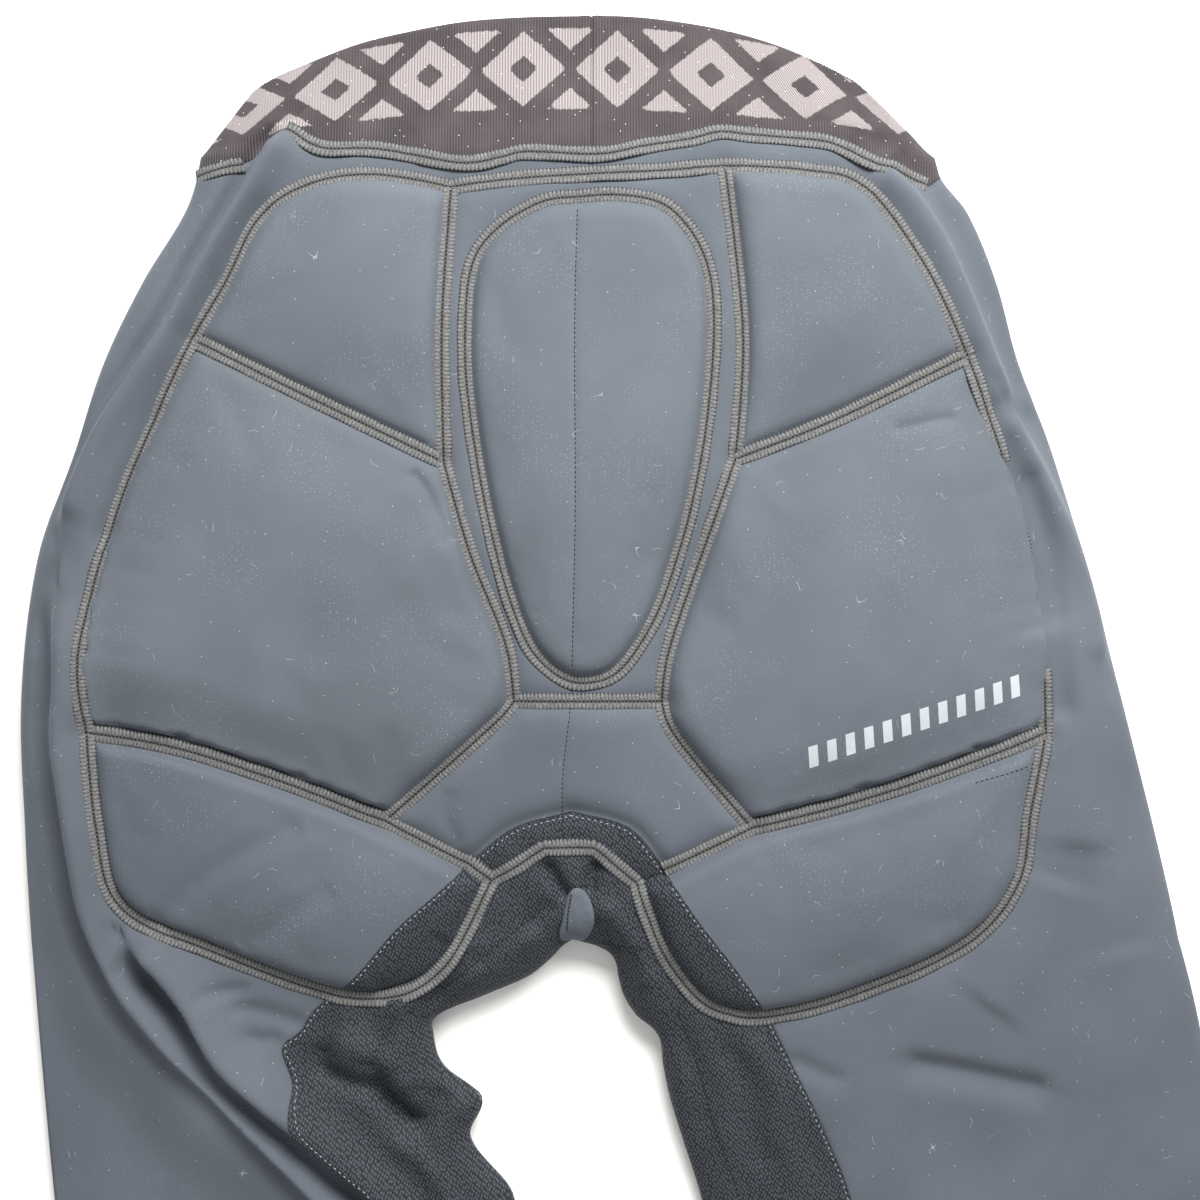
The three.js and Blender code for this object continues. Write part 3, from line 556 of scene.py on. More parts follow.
# Warp-knit jersey, dyed slate blue: matt, with a faint sheen at glancing angles, a grain that only
# just shows, slow changes of tone, and white lint and dust that its fine loops hold on to.
def jersey_of(name, tone, deep, dust):
    material, tree, surface = cloth_material(name, 0.22, 0.82)
    spot = add(tree, "TexCoord")
    cloud = add(tree, "TexNoise", {"Scale": 16.0, "Detail": 4.0, "Roughness": 0.55},
                [("Vector", spot, "Object")])
    tint = add(tree, "ValToRGB", {"stops": [(0.3, deep), (0.7, tone)]}, [("Fac", cloud, 0)])
    # Each kind of white: the width of its cells in metres, the share of a cell that it covers, how rare
    # it is, and its strength. Dust: specks of 0.25 mm in patches. Lint: a few flecks of 0.4 mm. Fibres:
    # short curved hairs, which lie where a soft noise has one value, in a few cells 8 mm wide.
    patches = add(tree, "TexNoise", {"Scale": 28.0, "Detail": 3.0}, [("Vector", spot, "Object")])
    dusty = add(tree, "MapRange", {"From Min": 0.44, "From Max": 0.62, "To Max": 0.5 * dust},
                [("Value", patches, 0)])
    whites = []
    for cell, fleck, rare, strength in (
            (0.0019, 0.070, 0.45, None), (0.0120, 0.018, 0.60, 0.5), (0.0080, 0.26, 0.93, 0.34)):
        cells = add(tree, "TexVoronoi", {"voronoi_dimensions": "2D", "Scale": 1 / cell},
                    [("Vector", spot, "Object")])
        small = add(tree, "Math", {"operation": "LESS_THAN", 1: fleck}, [(0, cells, "Distance")])
        pick = add(tree, "SeparateColor", {}, [("Color", cells, "Color")])
        some = add(tree, "Math", {"operation": "GREATER_THAN", 1: rare}, [(0, pick, "Red")])
        both = add(tree, "Math", {"operation": "MULTIPLY"}, [(0, small, 0), (1, some, 0)])
        if fleck > 0.2:
            bend = add(tree, "TexNoise", {"noise_dimensions": "2D", "Scale": 150.0, "Detail": 0.0},
                       [("Vector", spot, "Object")])
            hair = add(tree, "Math", {"operation": "COMPARE", 1: 0.5, 2: 0.008}, [(0, bend, 0)])
            both = add(tree, "Math", {"operation": "MULTIPLY"}, [(0, both, 0), (1, hair, 0)])
        how_strong = [(1, dusty, 0)] if strength is None else []
        whites.append(add(tree, "Math", {"operation": "MULTIPLY", 1: strength or 0.0},
                          [(0, both, 0)] + how_strong))
    most = add(tree, "Math", {"operation": "MAXIMUM"}, [(0, whites[0], 0), (1, whites[1], 0)])
    white = add(tree, "Math", {"operation": "MAXIMUM"}, [(0, most, 0), (1, whites[2], 0)])
    colour = add(tree, "Mix", {"data_type": "RGBA", 7: linear("#b9bfc6")},
                 [(0, white, 0), (6, tint, 0)])
    tree.links.new(colour.outputs[2], surface.inputs["Base Color"])
    # Loops of the knit are 0.35 mm apart; they are drawn 0.8 mm apart, to show at all.
    loops = add(tree, "TexVoronoi", {"Scale": 1250.0, "Randomness": 0.6}, [("Vector", spot, "Object")])
    grain = add(tree, "Bump", {"Strength": 0.10, "Distance": 0.0002}, [("Height", loops, "Distance")])
    tree.links.new(grain.outputs[0], surface.inputs["Normal"])
    return material


jersey = jersey_of("slate jersey", "#52575e", "#494e55", 0.5)

# The body lies a little lower under the padded back and under the two knit panels.
under_pads, under_knit = 2.2, 1.3
knit_borders = {"left": np.vstack([run_of("-gusset_arc_left")[:-1], knit_edges["left"]]),
                "right": np.vstack([seams["gusset_arc_right"][:-1], knit_edges["right"]])}
knit_areas = [np.vstack([border, line[::-1]])
              for border, line in zip(knit_borders.values(), inner_lines)]
body_rows = np.concatenate([np.linspace(0, 1, 106), np.linspace(1, 2, 88)[1:]])
layers = []
for side, is_back, columns in ((-1, True, 112), (-1, False, 16), (1, True, 84), (1, False, 16)):
    sheet = half_layer(side, is_back, body_rows, columns)
    if is_back:
        flat = sheet.reshape(-1, 3)
        under = under_pads * eased(gap_to(flat, padded_back) / 4 + 0.2)
        for area in knit_areas:
            under = np.maximum(under, under_knit * eased(gap_to(flat, area) / 4))
        flat[:, 2] -= under * rounding(np.abs(flat[:, 2]), 6)
    layers.append((sheet.reshape(-1, 3), grid_faces(*sheet.shape[:2], is_back == (side > 0))))
body_points, body_faces = joined(layers)
body = make("body_shell_cloth", *walled(body_points, body_faces, jersey_thickness), jersey)
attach(body, "root")
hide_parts("body_shell")

# ---- Tail panel and seat yoke ----------------------------------------------------------------------
# Two single-layer panels of the same jersey down the middle of the back: the tall one carries the
# tailbone pad, and the yoke below it reaches to the gusset. Both are joined edge to edge by flatlock.
foot_depth = 1.2


def triangles(points, border_count, up):
    """A flat mesh over points, the first of which are its border, with its faces up or down. Only a
    foot, which faces down, keeps its slivers."""
    border = [(k, (k + 1) % border_count) for k in range(border_count)]
    found = geometry.delaunay_2d_cdt([Vector(q) for q in points], border, [], 1, 1e-5)
    flat = np.array([tuple(q) for q in found[0]])
    faces = [tuple(f) for f in found[2]]
    a, b, c = (flat[[f[k] for f in faces]] for k in range(3))
    turn = (b[:, 0] - a[:, 0]) * (c[:, 1] - a[:, 1]) - (b[:, 1] - a[:, 1]) * (c[:, 0] - a[:, 0])
    return flat, [f if (t > 0) == up else f[::-1]
                  for f, t in zip(faces, turn) if abs(t) > 1e-6 or not up]


def patch(outline, spacing, borders, lines=()):
    """A flat mesh inside an outline: rows of points along its border and along each line, and a
    triangular grid elsewhere. It returns the points and the triangles."""
    loop = smooth_line(outline, min(spacing, 1.9), closed=True)
    rows = []
    both_ways = [offset * way for offset in borders for way in (-1, 1)]
    for line, offsets in [(np.vstack([loop, loop[:1]]), both_ways)] + list(lines):
        rows += [line + headings(line)[1] * offset for offset in offsets]
    low, high = loop.min(0), loop.max(0)
    row_share = 0.866
    gx, gy = np.meshgrid(np.arange(int((high[0] - low[0]) / spacing) + 2),
                         np.arange(int((high[1] - low[1]) / (row_share * spacing)) + 2))
    grid = np.stack([low[0] + (gx + 0.5 * (gy % 2)) * spacing, low[1] + gy * row_share * spacing], -1)
    grid = grid.reshape(-1, 2)
    extra = np.vstack(rows)
    # What is kept: the border, then what keeps clear of it and of what was kept before.
    kept = [(loop, 0.0), (extra[gap_to(extra, loop) > 0.75 * min(borders)], 0.62),
            (grid[gap_to(grid, loop) > 0.6 * spacing], 0.72 * spacing)]
    taken, chosen, bin_size = {}, [], 2.5
    for points, clear in kept:
        for x, y in points.tolist():
            i, j = int(x // bin_size), int(y // bin_size)
            crowd = [q for u in (-1, 0, 1) for v in (-1, 0, 1) for q in taken.get((i + u, j + v), ())]
            if all((x - u)**2 + (y - v)**2 >= clear * clear for u, v in crowd):
                taken.setdefault((i, j), []).append((x, y))
                chosen.append((x, y))
    return triangles(chosen, len(loop), True)


def backed(top, faces, flat, foot_of, coarse=11.0):
    """Closes a patch from below: its border goes down to a foot with a coarse grid of its own."""
    edges = dict(rim_of(faces))
    start = next(iter(edges))
    loop, at = [start], edges[start]
    while at != start:
        loop.append(at)
        at = edges[at]
    border = flat[loop]
    low, high = border.min(0), border.max(0)
    gx, gy = np.meshgrid(np.arange(low[0], high[0], coarse), np.arange(low[1], high[1], coarse))
    grid = np.stack([gx.ravel(), gy.ravel()], 1)
    grid = grid[gap_to(grid, border) > 0.5 * coarse]
    n, start = len(loop), len(top)
    foot, back = triangles(np.vstack([border, grid]), n, False)
    back = [tuple(k + start for k in f) for f in back]
    rims = [(loop[(k + 1) % n], loop[k], start + k, start + (k + 1) % n) for k in range(n)]
    return np.vstack([top, foot_of(foot)]), faces + back + rims


def lift_by(p, height):
    points = drape(p)
    points[:, 2] += height
    return points


def crease(p, line, depth, width):
    """A groove along a line, as the relief that it takes away."""
    cut = np.zeros(len(p))
    k = near(p, line, 3 * width)
    if len(k):
        distance, _, share, _ = to_line(p[k], line)
        cut[k] = depth * np.exp(-(distance / width)**2) * tapered(share, 0.06, 0.2)
    return cut


middle_y = np.linspace(waist - 12, crotch + 43, 96)
middle_bend = 0.4 * np.sin(middle_y / 23) - 4.2 * eased((-30 - middle_y) / 50)
middle_seam = np.stack([centre_line(middle_y) + middle_bend, middle_y], 1)
border_rows = (0.9, 2.0, 3.2)
tail_outline = outline_of("top_middle", "tail_right_upper", "tail_right_lower", "-yoke_top",
                          "-tail_left_lower", "-tail_left_upper")
yoke_outline = outline_of("yoke_top", "yoke_side_right", "-thigh_top_right", "-gusset_arc_right",
                          "-gusset_arc_left", "-thigh_top_left", "-yoke_side_left")
yoke_wrinkle = smooth_line(place([(-0.221, 0.803), (-0.230, 0.834), (-0.204, 0.872)]), 2)
for name, outline, swell, node, cut in (
        ("tail_panel_cloth", tail_outline, 0.9, "tail_panel", (0.120, 0.215, 0.0200)),
        ("seat_yoke_cloth", yoke_outline, 2.2, "seat_yoke", (0.147, 0.068, 0.0072))):
    flat, faces = patch(outline, 2.1, border_rows, [(middle_seam, (-0.8, 0.0, 0.8))])
    gap = gap_to(flat, outline)
    inside = gap_to(flat, oval_seam)
    height = 0.3 + swell * rounding(np.maximum(gap - 2.5, 0), 12) * eased(-inside / 6 + 0.3)
    height -= 2.2 * eased(inside / 3 + 0.1) + crease(flat, middle_seam, 0.5, 0.7)
    height -= crease(flat, yoke_wrinkle, 0.9, 3)
    top = lift_by(flat, height)
    closed = backed(top, faces, flat, lambda q: lift_by(
        q, -0.6 - 2.4 * eased(gap_to(q, oval_seam) / 3 + 0.1)))
    panel = make(name, *closed, jersey)
    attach(panel, "root")
    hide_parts(node)

# ---- Inner leg panels ------------------------------------------------------------------------------
# Two panels of coarse dark mesh knit that meet at a pointed gusset in the crotch and run down inside
# the thighs, round to the front. They are seamed to the jersey along their outer edges and let air in.

# Polyester mesh knit, piece-dyed near black: slanted rows of long raised cells, with a painted
# highlight on each cell's crown and painted shade in the pits between them. Its cells are 1.1 by 1.7
# mm, as on the real cloth.
def knit_nodes(tree, spot):
    slanted = add(tree, "Mapping", {"Rotation": (0, 0, 0.55), "Scale": (1 / 0.0011, 1 / 0.0017, 1)},
                  [("Vector", spot, "Object")])
    cells = add(tree, "TexVoronoi", {"voronoi_dimensions": "2D", "Scale": 1.0, "Randomness": 0.4},
                [("Vector", slanted, 0)])
    # This ramp is painted light: paler on each cell's crown and darker in the pits, as the bump rises
    # and falls.
    tone = add(tree, "ValToRGB", {"stops": [
        (0.05, "#50545b"), (0.20, "#363a40"), (0.40, "#222529"), (0.62, "#111316")]},
        [("Fac", cells, "Distance")])
    bump = add(tree, "Bump", {"Strength": 0.5, "Distance": 0.0005, "invert": True},
               [("Height", cells, "Distance")])
    return tone, bump


mesh_knit, tree, surface = cloth_material("dark mesh knit", 0.12, 0.75)
tone, bump = knit_nodes(tree, add(tree, "TexCoord"))
tree.links.new(tone.outputs[0], surface.inputs["Base Color"])
tree.links.new(bump.outputs[0], surface.inputs["Normal"])

# Where the panels' shared peak lies, and how far round the front they go, in mm.
gusset_down, front_reach = 0.8325, 34.0


def leg_panel(side):
    name = "left" if side < 0 else "right"
    border = knit_borders[name]
    rows = np.concatenate([np.linspace(gusset_down, 1, 40), np.linspace(1, 2, 92)[1:]])
    y = level_of(rows)
    edge_x = np.interp(-y, -border[:, 1], border[:, 0])
    share = (1 - np.cos(np.pi * np.linspace(0, 1, 30)[None, :])) / 2
    inner_x = inner_edge(side, y)
    x = edge_x[:, None] + (inner_x - edge_x)[:, None] * share
    flat = np.stack([x.ravel(), np.repeat(y, x.shape[1])], 1)
    back = drape(flat)
    under = gap_to(flat, thigh_outlines[name])
    crumple = 0.5 * np.sin(flat[:, 0] / 3.1 + flat[:, 1] / 9) * np.sin(flat[:, 1] / 7.3)
    settled = rounding(np.maximum(to_line(flat, inner_lines[0 if side < 0 else 1])[0], 0), 9)
    back[:, 2] += (0.8 + crumple) * settled - 2.4 * eased(under / 3 + 0.1)
    back = back.reshape(*x.shape, 3)
    # Below the crotch the panel goes on round the fold, to the front, and lies over the jersey there.
    below = rows >= 1
    turns = np.linspace(0, 1, 9)[None, :]
    fold_x = inner_x[below][:, None]
    reach = front_reach * eased((rows[below] - 1) / 0.1)[:, None]
    front_y = np.repeat(y[below][:, None], turns.size, 1)
    front_x = fold_x + side * reach * turns
    edge = fold_height * reading(levels, 2, rows[below])[:, None]
    front_z = edge * (1 - rounding(side * (front_x - fold_x), front_roll)) - 0.3 * (turns > 0)
    front = np.stack([front_x, front_y, front_z], -1)
    front[:, 0] = back[below][:, -1]
    points, faces = joined([(part.reshape(-1, 3), grid_faces(*part.shape[:2], side > 0))
                            for part in (back, front)])
    return make(f"inner_leg_panel_{name}_knit", *walled(points, faces, knit_thickness), mesh_knit)


for side, name, cut in ((-1, "left", (0.150, 0.244, 0.0235)), (1, "right", (0.165, 0.244, 0.0275))):
    panel = leg_panel(side)
    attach(panel, "root")
    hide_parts(f"inner_leg_panel_{name}")

# A small tab of the front's jersey shows between the two panels below the crotch seam. It bridges the
# creases round it, at the height of the cloth 4 mm away.
tab_outline = smooth_line(place([
    (-0.006, 0.927), (-0.018, 0.940), (-0.026, 0.966), (-0.032, 0.992), (-0.012, 0.999),
    (0.010, 0.997), (0.028, 0.975), (0.026, 0.950), (0.012, 0.931)]), 1.5, closed=True)
flat, faces = patch(tab_outline, 1.4, (0.8,))
settled = rounding(to_inner(flat), 9)
low = drape(flat)[:, 2]
high = np.max([drape(flat + 4.0 * np.array([math.cos(t), math.sin(t)]))[:, 2]
               for t in np.arange(0, 6.2, 0.7)], 0)
plump = rounding(np.maximum(gap_to(flat, tab_outline), 0), 4)
top = np.column_stack([flat, low + (high - low) * settled**2 + (0.7 + 0.9 * plump) * settled])
closed = backed(top, faces, flat, lambda q: lift_by(q, -foot_depth), 5.0)
tab = make("crotch_tab_cloth", *closed, jersey)
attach(tab, "root")

# ---- Pads ------------------------------------------------------------------------------------------
# Seven pads of soft closed-cell foam, 6 to 8 mm thick, each laid on the body under a panel of jersey
# and closed in by the flatlock round it. Foam fills each panel to a soft, rounded shoulder.
# The thigh pads' inner corners are covered with the mesh knit.
pad_jersey = jersey_of("pad jersey", "#555a61", "#4d5258", 1.0)

pad_knit_jersey = jersey_of("thigh pad jersey and knit", "#52575e", "#4a4f56", 1.0)
tree = pad_knit_jersey.node_tree
surface = tree.nodes["Principled BSDF"]
tone, bump = knit_nodes(tree, tree.nodes["Texture Coordinate"])
knit_mark = add(tree, "Attribute", {"attribute_name": "knit"})
is_knit = add(tree, "MapRange", {"From Min": -0.15, "From Max": 0.15}, [("Value", knit_mark, "Fac")])
old_colour = surface.inputs["Base Color"].links[0].from_socket
old_normal = surface.inputs["Normal"].links[0].from_socket
both_colours = add(tree, "Mix", {"data_type": "RGBA"}, [(0, is_knit, 0), (7, tone, 0)])
tree.links.new(old_colour, both_colours.inputs[6])
both_normals = add(tree, "Mix", {"data_type": "VECTOR"}, [(0, is_knit, 0), (5, bump, 0)])
tree.links.new(old_normal, both_normals.inputs[4])
tree.links.new(both_colours.outputs[2], surface.inputs["Base Color"])
tree.links.new(both_normals.outputs[1], surface.inputs["Normal"])

# Each pad: the seams round it, with how far inside the seam its foam starts and how wide its shoulder
# rolls there, its foam's height, and the creases in its cover (depth, width, places). At the crisp
# edges and the hip seams the foam takes 0.4 of its height at once and the rest slowly. An edge that
# rolls over less than "crisp" is crisp, and the foam domes a little towards the middle of each pad.
pads = {
    "tailbone_pad": (None, 6.5, [(0.5, 0.7, None)]),
    "upper_hip_pad_left": (
        (("top_arc_left", 2.2, 9), ("tail_left_upper", 2.2, 9), ("-hip_seam_left", 3.5, 6)), 7.5, []),
    "upper_hip_pad_right": (
        (("top_arc_right", 2.2, 9), ("-hip_seam_right", 3.5, 6), ("-tail_right_upper", 2.2, 9)),
        7.5, []),
    "seat_pad_left": (
        (("hip_seam_left", 3.5, 6), ("tail_left_lower", 2.4, 8), ("yoke_side_left", 2.4, 9),
         ("-seat_seam_left", 4.7, 1.6), ("-outer_left", 2.0, 2.4)), 8.0,
        [(1.8, 2.6, [(-0.288, 0.405), (-0.262, 0.429), (-0.236, 0.467), (-0.219, 0.498)])]),
    "seat_pad_right": (
        (("hip_seam_right", 3.5, 6), ("outer_right", 0.4, 2.2), ("-seat_seam_right", 4.7, 1.6),
         ("-yoke_side_right", 2.4, 9), ("-tail_right_lower", 2.4, 8)), 8.0,
        [(1.4, 2.4, [(0.545, 0.356), (0.6, 0.346), (0.655, 0.338)])]),
    "thigh_pad_left": (
        (("seat_seam_left", 3.2, 5), ("thigh_top_left", 3.0, 6), ("gusset_side_left", 3.0, 6),
         ("-thigh_hem_left", 3.4, 8)), 7.5,
        [(1.3, 5, [(-0.738, 0.969), (-0.652, 0.913), (-0.565, 0.876), (-0.479, 0.845)]),
         (1.0, 5, [(-0.583, 1.011), (-0.496, 0.957), (-0.419, 0.926)])]),
    "thigh_pad_right": (
        (("thigh_hem_right", 3.4, 8), ("-seat_seam_right", 3.2, 5), ("-thigh_top_right", 3.0, 6),
         ("-gusset_side_right", 3.0, 6)), 7.5, [])}


crisp, dome_height = 4, 1.2


def foam_lift(p, edges, rises):
    """How high the cover stands over the cloth under the pad, at points in plan."""
    swell, slit = np.ones(len(p)), np.zeros(len(p))
    for number, (line, start, roll, at_once) in enumerate(edges):
        distance, _, share, _ = to_line(p, line)
        power, slow_rise = 0.9, 38
        if roll < crisp:
            # A crisp edge wavers, and beside a seam it leaves a slit down to the lining.
            power, slow_rise = 1, 26
            run = share * len(line)
            start = start + 0.45 * np.sin(run * 0.9 + number) * np.sin(run * 0.37) \
                + 0.9 * np.maximum(np.sin(run * 0.31 + number), 0)**12
            cut = eased((distance - 3.2) / 0.8) * (distance < start)
            slit = np.maximum(slit, np.where(start > 3, cut, 0))
        swell *= at_once * rounding(np.maximum(distance - start, 0), roll)**power \
            + (1 - at_once) * eased((distance - start) / slow_rise)
    distance = np.min([to_line(p, line)[0] for line, *_ in edges], 0)
    dome = dome_height * eased(distance / 42) * (swell > 0)
    return 0.1 - slit + (rises - dome_height) * swell + dome


# Where a seat pad's edge leans out over its outer seam: the seam, its outer side, how far, and between
# which shares of the seam.
leans = {"seat_pad_left": ("outer_left", -1, 0.6, 0.20, 0.94),
         "seat_pad_right": ("outer_right", 1, 2.6, 0.24, 0.90)}

pad_shapes = {}
for name, (around, rises, wrinkles) in pads.items():
    if around is None:
        outline = oval_seam
        edges = [(oval_loop, 3.0, 8, 1.0)]
    else:
        outline = outline_of(*(seam for seam, _, _ in around))
        edges = [(seams[seam.lstrip("-")], start, roll,
                  0.4 if roll < crisp or "hip_seam" in seam else 1.0) for seam, start, roll in around]
    lines = [(middle_seam if places is None else smooth_line(place(places), 2), depth, width)
             for depth, width, places in wrinkles]
    pad_shapes[name] = (outline, edges, rises, lines)

# The covers are blown up by cloth simulation over the foam: each starts a little lower than its foam,
# sewn down along its border and its foot, and swells by at most 2 mm.
swollen, most_swell = {}, 2.0
trials = {}
for name, (outline, edges, rises, lines) in pad_shapes.items():
    flat, faces = patch(outline, 4.6, (2.4,))
    top = lift_by(flat, 0.94 * foam_lift(flat, edges, rises))
    points, closed = backed(top, faces, flat, lambda q: lift_by(q, -foot_depth))
    trial = make(name + "_trial", points, closed, pad_jersey)
    sewn = trial.vertex_groups.new(name="sewn")
    inner_part = set(np.flatnonzero(gap_to(flat, outline) > 1.5).tolist())
    sewn.add([k for k in range(len(points)) if k not in inner_part], 1.0, "REPLACE")
    cover = trial.modifiers.new("cover", "CLOTH").settings
    for key, value in (("vertex_group_mass", "sewn"), ("use_pressure", True),
                       ("uniform_pressure_force", 4.0), ("mass", 0.15), ("tension_stiffness", 25),
                       ("compression_stiffness", 25), ("bending_stiffness", 1.5)):
        setattr(cover, key, value)
    cover.effector_weights.gravity = 0
    trials[name] = (trial, flat, top)
scene = bpy.context.scene
for number in range(1, 21):
    scene.frame_set(number)
graph = bpy.context.evaluated_depsgraph_get()
for name, (trial, flat, top) in trials.items():
    blown = np.array([v.co for v in trial.evaluated_get(graph).data.vertices])[:len(top)] * 1000
    moved = blown - top
    size = np.linalg.norm(moved, axis=1)
    moved *= (np.minimum(size, most_swell) / np.maximum(size, 1e-9))[:, None]
    tree_of = kdtree.KDTree(len(flat))
    for k, (x, y) in enumerate(flat):
        tree_of.insert((x, y, 0), k)
    tree_of.balance()
    swollen[name] = (tree_of, moved)
    print(f"pad {name} swelled by {size.mean():.2f} mm, at most {size.max():.2f}")
    bpy.data.objects.remove(trial)
scene.frame_set(1)

for name, (outline, edges, rises, lines) in pad_shapes.items():
    fine = [(line, (-width, -0.5 * width, 0.0, 0.5 * width, width)) for line, _, width in lines]
    knit_edge = knit_edges[name.rsplit("_", 1)[1]] if "thigh" in name else None
    if knit_edge is not None:
        fine.append((knit_edge, (-0.5, 0.5)))
    flat, faces = patch(outline, 2.2, (0.9, 2.0, 3.1, 4.2, 5.4, 6.8, 8.4), fine)
    height = foam_lift(flat, edges, rises)
    for line, depth, width in lines:
        height -= crease(flat, line, depth, width)
    top = lift_by(flat, height)
    if name in swollen:
        tree_of, moved = swollen[name]
        for k, (x, y) in enumerate(flat):
            found = tree_of.find_n((x, y, 0), 4)
            weights = [1 / (away + 0.3) for _, _, away in found]
            top[k] += sum(w * moved[i] for w, (_, i, _) in zip(weights, found)) / sum(weights)
    if name in leans:
        seam, outward, reach, start, end = leans[name]
        distance, _, share, normal = to_line(flat, seams[seam])
        window = eased((share - start) / 0.12) * eased((end - share) / 0.12)
        lean = outward * reach * window * np.exp(-((distance - 1.5) / 3.0)**2)
        top[:, :2] += normal * lean[:, None]
    marks, material = {}, pad_jersey
    if knit_edge is not None:
        distance, side, _, _ = to_line(flat, knit_edge)
        marks["knit"] = distance * side * (1 if "left" in name else -1)
        material = pad_knit_jersey
    closed = backed(top, faces, flat, lambda q: lift_by(q, -foot_depth))
    pad = make(name + "_cover", *closed, material, **marks)
    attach(pad, "root")
    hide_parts(name)

# ---- Waistband -------------------------------------------------------------------------------------
# A 56 mm band of ribbed elastic knit, polyester over rubber, joined into a ring by a short seam at
# the back. A jacquard pattern is knitted into its upper two thirds in a paler yarn.

# Jacquard elastic knit in charcoal and pale mauve-grey polyester: matt and brushed, with upright ribs
# 1.15 mm apart that are real relief here, and stray fibres that blur each colour's edge. Its colour
# also has painted shade in the ribs' grooves and a painted highlight on their ridges.
band_knit, tree, surface = cloth_material("ribbed jacquard elastic", 0.3, 0.92)
motif = add(tree, "Attribute", {"attribute_name": "motif"})
rib = add(tree, "Attribute", {"attribute_name": "rib"})
spot = add(tree, "TexCoord")
stray = add(tree, "TexNoise", {"Scale": 700.0, "Detail": 2.0}, [("Vector", spot, "Object")])
strays = add(tree, "MapRange", {"To Min": -0.9, "To Max": 0.9}, [("Value", stray, 0)])
edge_at = add(tree, "Math", {"operation": "ADD"}, [(0, motif, "Fac"), (1, strays, 0)])
pale = add(tree, "MapRange", {"From Min": -0.25, "From Max": 0.25}, [("Value", edge_at, 0)])
patchy = add(tree, "TexNoise", {"Scale": 60.0, "Detail": 5.0}, [("Vector", spot, "Object")])
dark_tone = add(tree, "ValToRGB", {"stops": [(0.3, "#3f393b"), (0.7, "#504849")]},
                [("Fac", patchy, 0)])
yarns = add(tree, "Mix", {"data_type": "RGBA", 7: linear("#918988")}, [(0, pale, 0), (6, dark_tone, 0)])
# Painted light: the yarns' colour is darkened in each rib's groove and lightened on its ridge.
groove = add(tree, "MapRange", {"To Min": 0.38, "To Max": 1.22}, [("Value", rib, "Fac")])
ribbed = add(tree, "VectorMath", {"operation": "SCALE"}, [("Vector", yarns, 2), ("Scale", groove, 0)])
cells = add(tree, "TexVoronoi", {"voronoi_dimensions": "2D", "Scale": 1 / 0.009},
            [("Vector", spot, "Object")])
small = add(tree, "Math", {"operation": "LESS_THAN", 1: 0.022}, [(0, cells, "Distance")])
flecked = add(tree, "Mix", {"data_type": "RGBA", 7: linear("#c9c2c0")}, [(0, small, 0), (6, ribbed, 0)])
tree.links.new(flecked.outputs[2], surface.inputs["Base Color"])
stitches_tex = add(tree, "TexVoronoi", {"Scale": 1100.0}, [("Vector", spot, "Object")])
grain = add(tree, "Bump", {"Strength": 0.3, "Distance": 0.0003}, [("Height", stitches_tex, "Distance")])
tree.links.new(grain.outputs[0], surface.inputs["Normal"])


def motif_at(u, v):
    """Signed distance, in mm, into the pale figure: a row of diamonds with dark hearts, and small half
    diamonds above and below between them. u runs along the band and v up from the waist seam."""
    middle, period, border = 34.0, 38.0, 17.0
    wide, tall, diamond, heart, half_diamond = 0.76, 0.82, 13.2, 4.6, 7.4
    off = np.abs((u + 3) % period - period / 2)
    rise = np.abs(v - middle)
    reach = off * wide + rise * tall
    beyond = (period / 2 - off) * wide + (border - rise) * tall
    half = np.minimum(half_diamond - beyond, border - rise)
    return np.maximum(np.minimum(diamond - reach, reach - heart), half)


def ribs_at(u):
    """The ribs across the band: 1 on a ridge and 0 in the groove beside it."""
    rib_pitch = 1.15
    return 0.5 + 0.5 * np.cos(2 * np.pi * u / rib_pitch)


# The band is joined into a ring by a seam a little right of the centre back, which puckers it.
join_at, join_depth, join_swell, rib_height = 5.5, 0.9, 0.6, 0.32
band_rows = np.linspace(-1, 0, 30)
parts = []
for side, is_back, columns in ((-1, True, 560), (-1, False, 30), (1, True, 560), (1, False, 30)):
    sheet = half_layer(side, is_back, band_rows, columns)
    flat = sheet.reshape(-1, 3)
    if is_back:
        u = flat[:, 0]
        settled = rounding(to_outer(flat).clip(0), 5)
        flat[:, 2] += (rib_height * ribs_at(u) - 0.5) * settled
        flat[:, 2] -= join_depth * np.exp(-((u - join_at) / 0.45)**2) * settled
        flat[:, 2] += join_swell * np.exp(-((np.abs(u - join_at) - 2.4) / 1.6)**2) * settled
    parts.append((flat, grid_faces(*sheet.shape[:2], is_back == (side > 0))))
points, faces = joined(parts)
# Height in the band: from the waist seam up, along rows that arch more towards the upper edge.
u, down = points[:, 0], down_of(points[:, 1])
v = np.interp(down, [-1, 0], [band_height, 0]) \
    + seam_arch * band_height * (np.abs(u) / 150)**arch_power \
    + 0.36 * band_height * (np.abs(u) / 130)**arch_power * np.clip(-down, 0, 1)
band = make("waistband_knit", *walled(points, faces, band_thickness), band_knit,
            motif=motif_at(u, v), rib=ribs_at(u))
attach(band, "root")
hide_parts("waistband")

# ---- Flatlock seams --------------------------------------------------------------------------------
# Four-needle flatlock in warm grey textured nylon: two rows of cross threads side by side over the
# butted edges, with a line of needle holes between them and a dark line of stitching at each edge.

# Textured nylon thread, dyed warm grey: matt and slightly hairy. Its colour has a painted highlight on
# the crown of each thread and painted shade where threads meet and at the needle holes.
flatlock, tree, surface = cloth_material("warm grey flatlock thread", 0.15, 0.85)
across = add(tree, "Attribute", {"attribute_name": "across"})
along = add(tree, "Attribute", {"attribute_name": "along"})
side_of = add(tree, "Math", {"operation": "ABSOLUTE"}, [(0, across, "Fac")])
wave_at = add(tree, "Math", {"operation": "SINE"}, [(0, along, "Fac")])
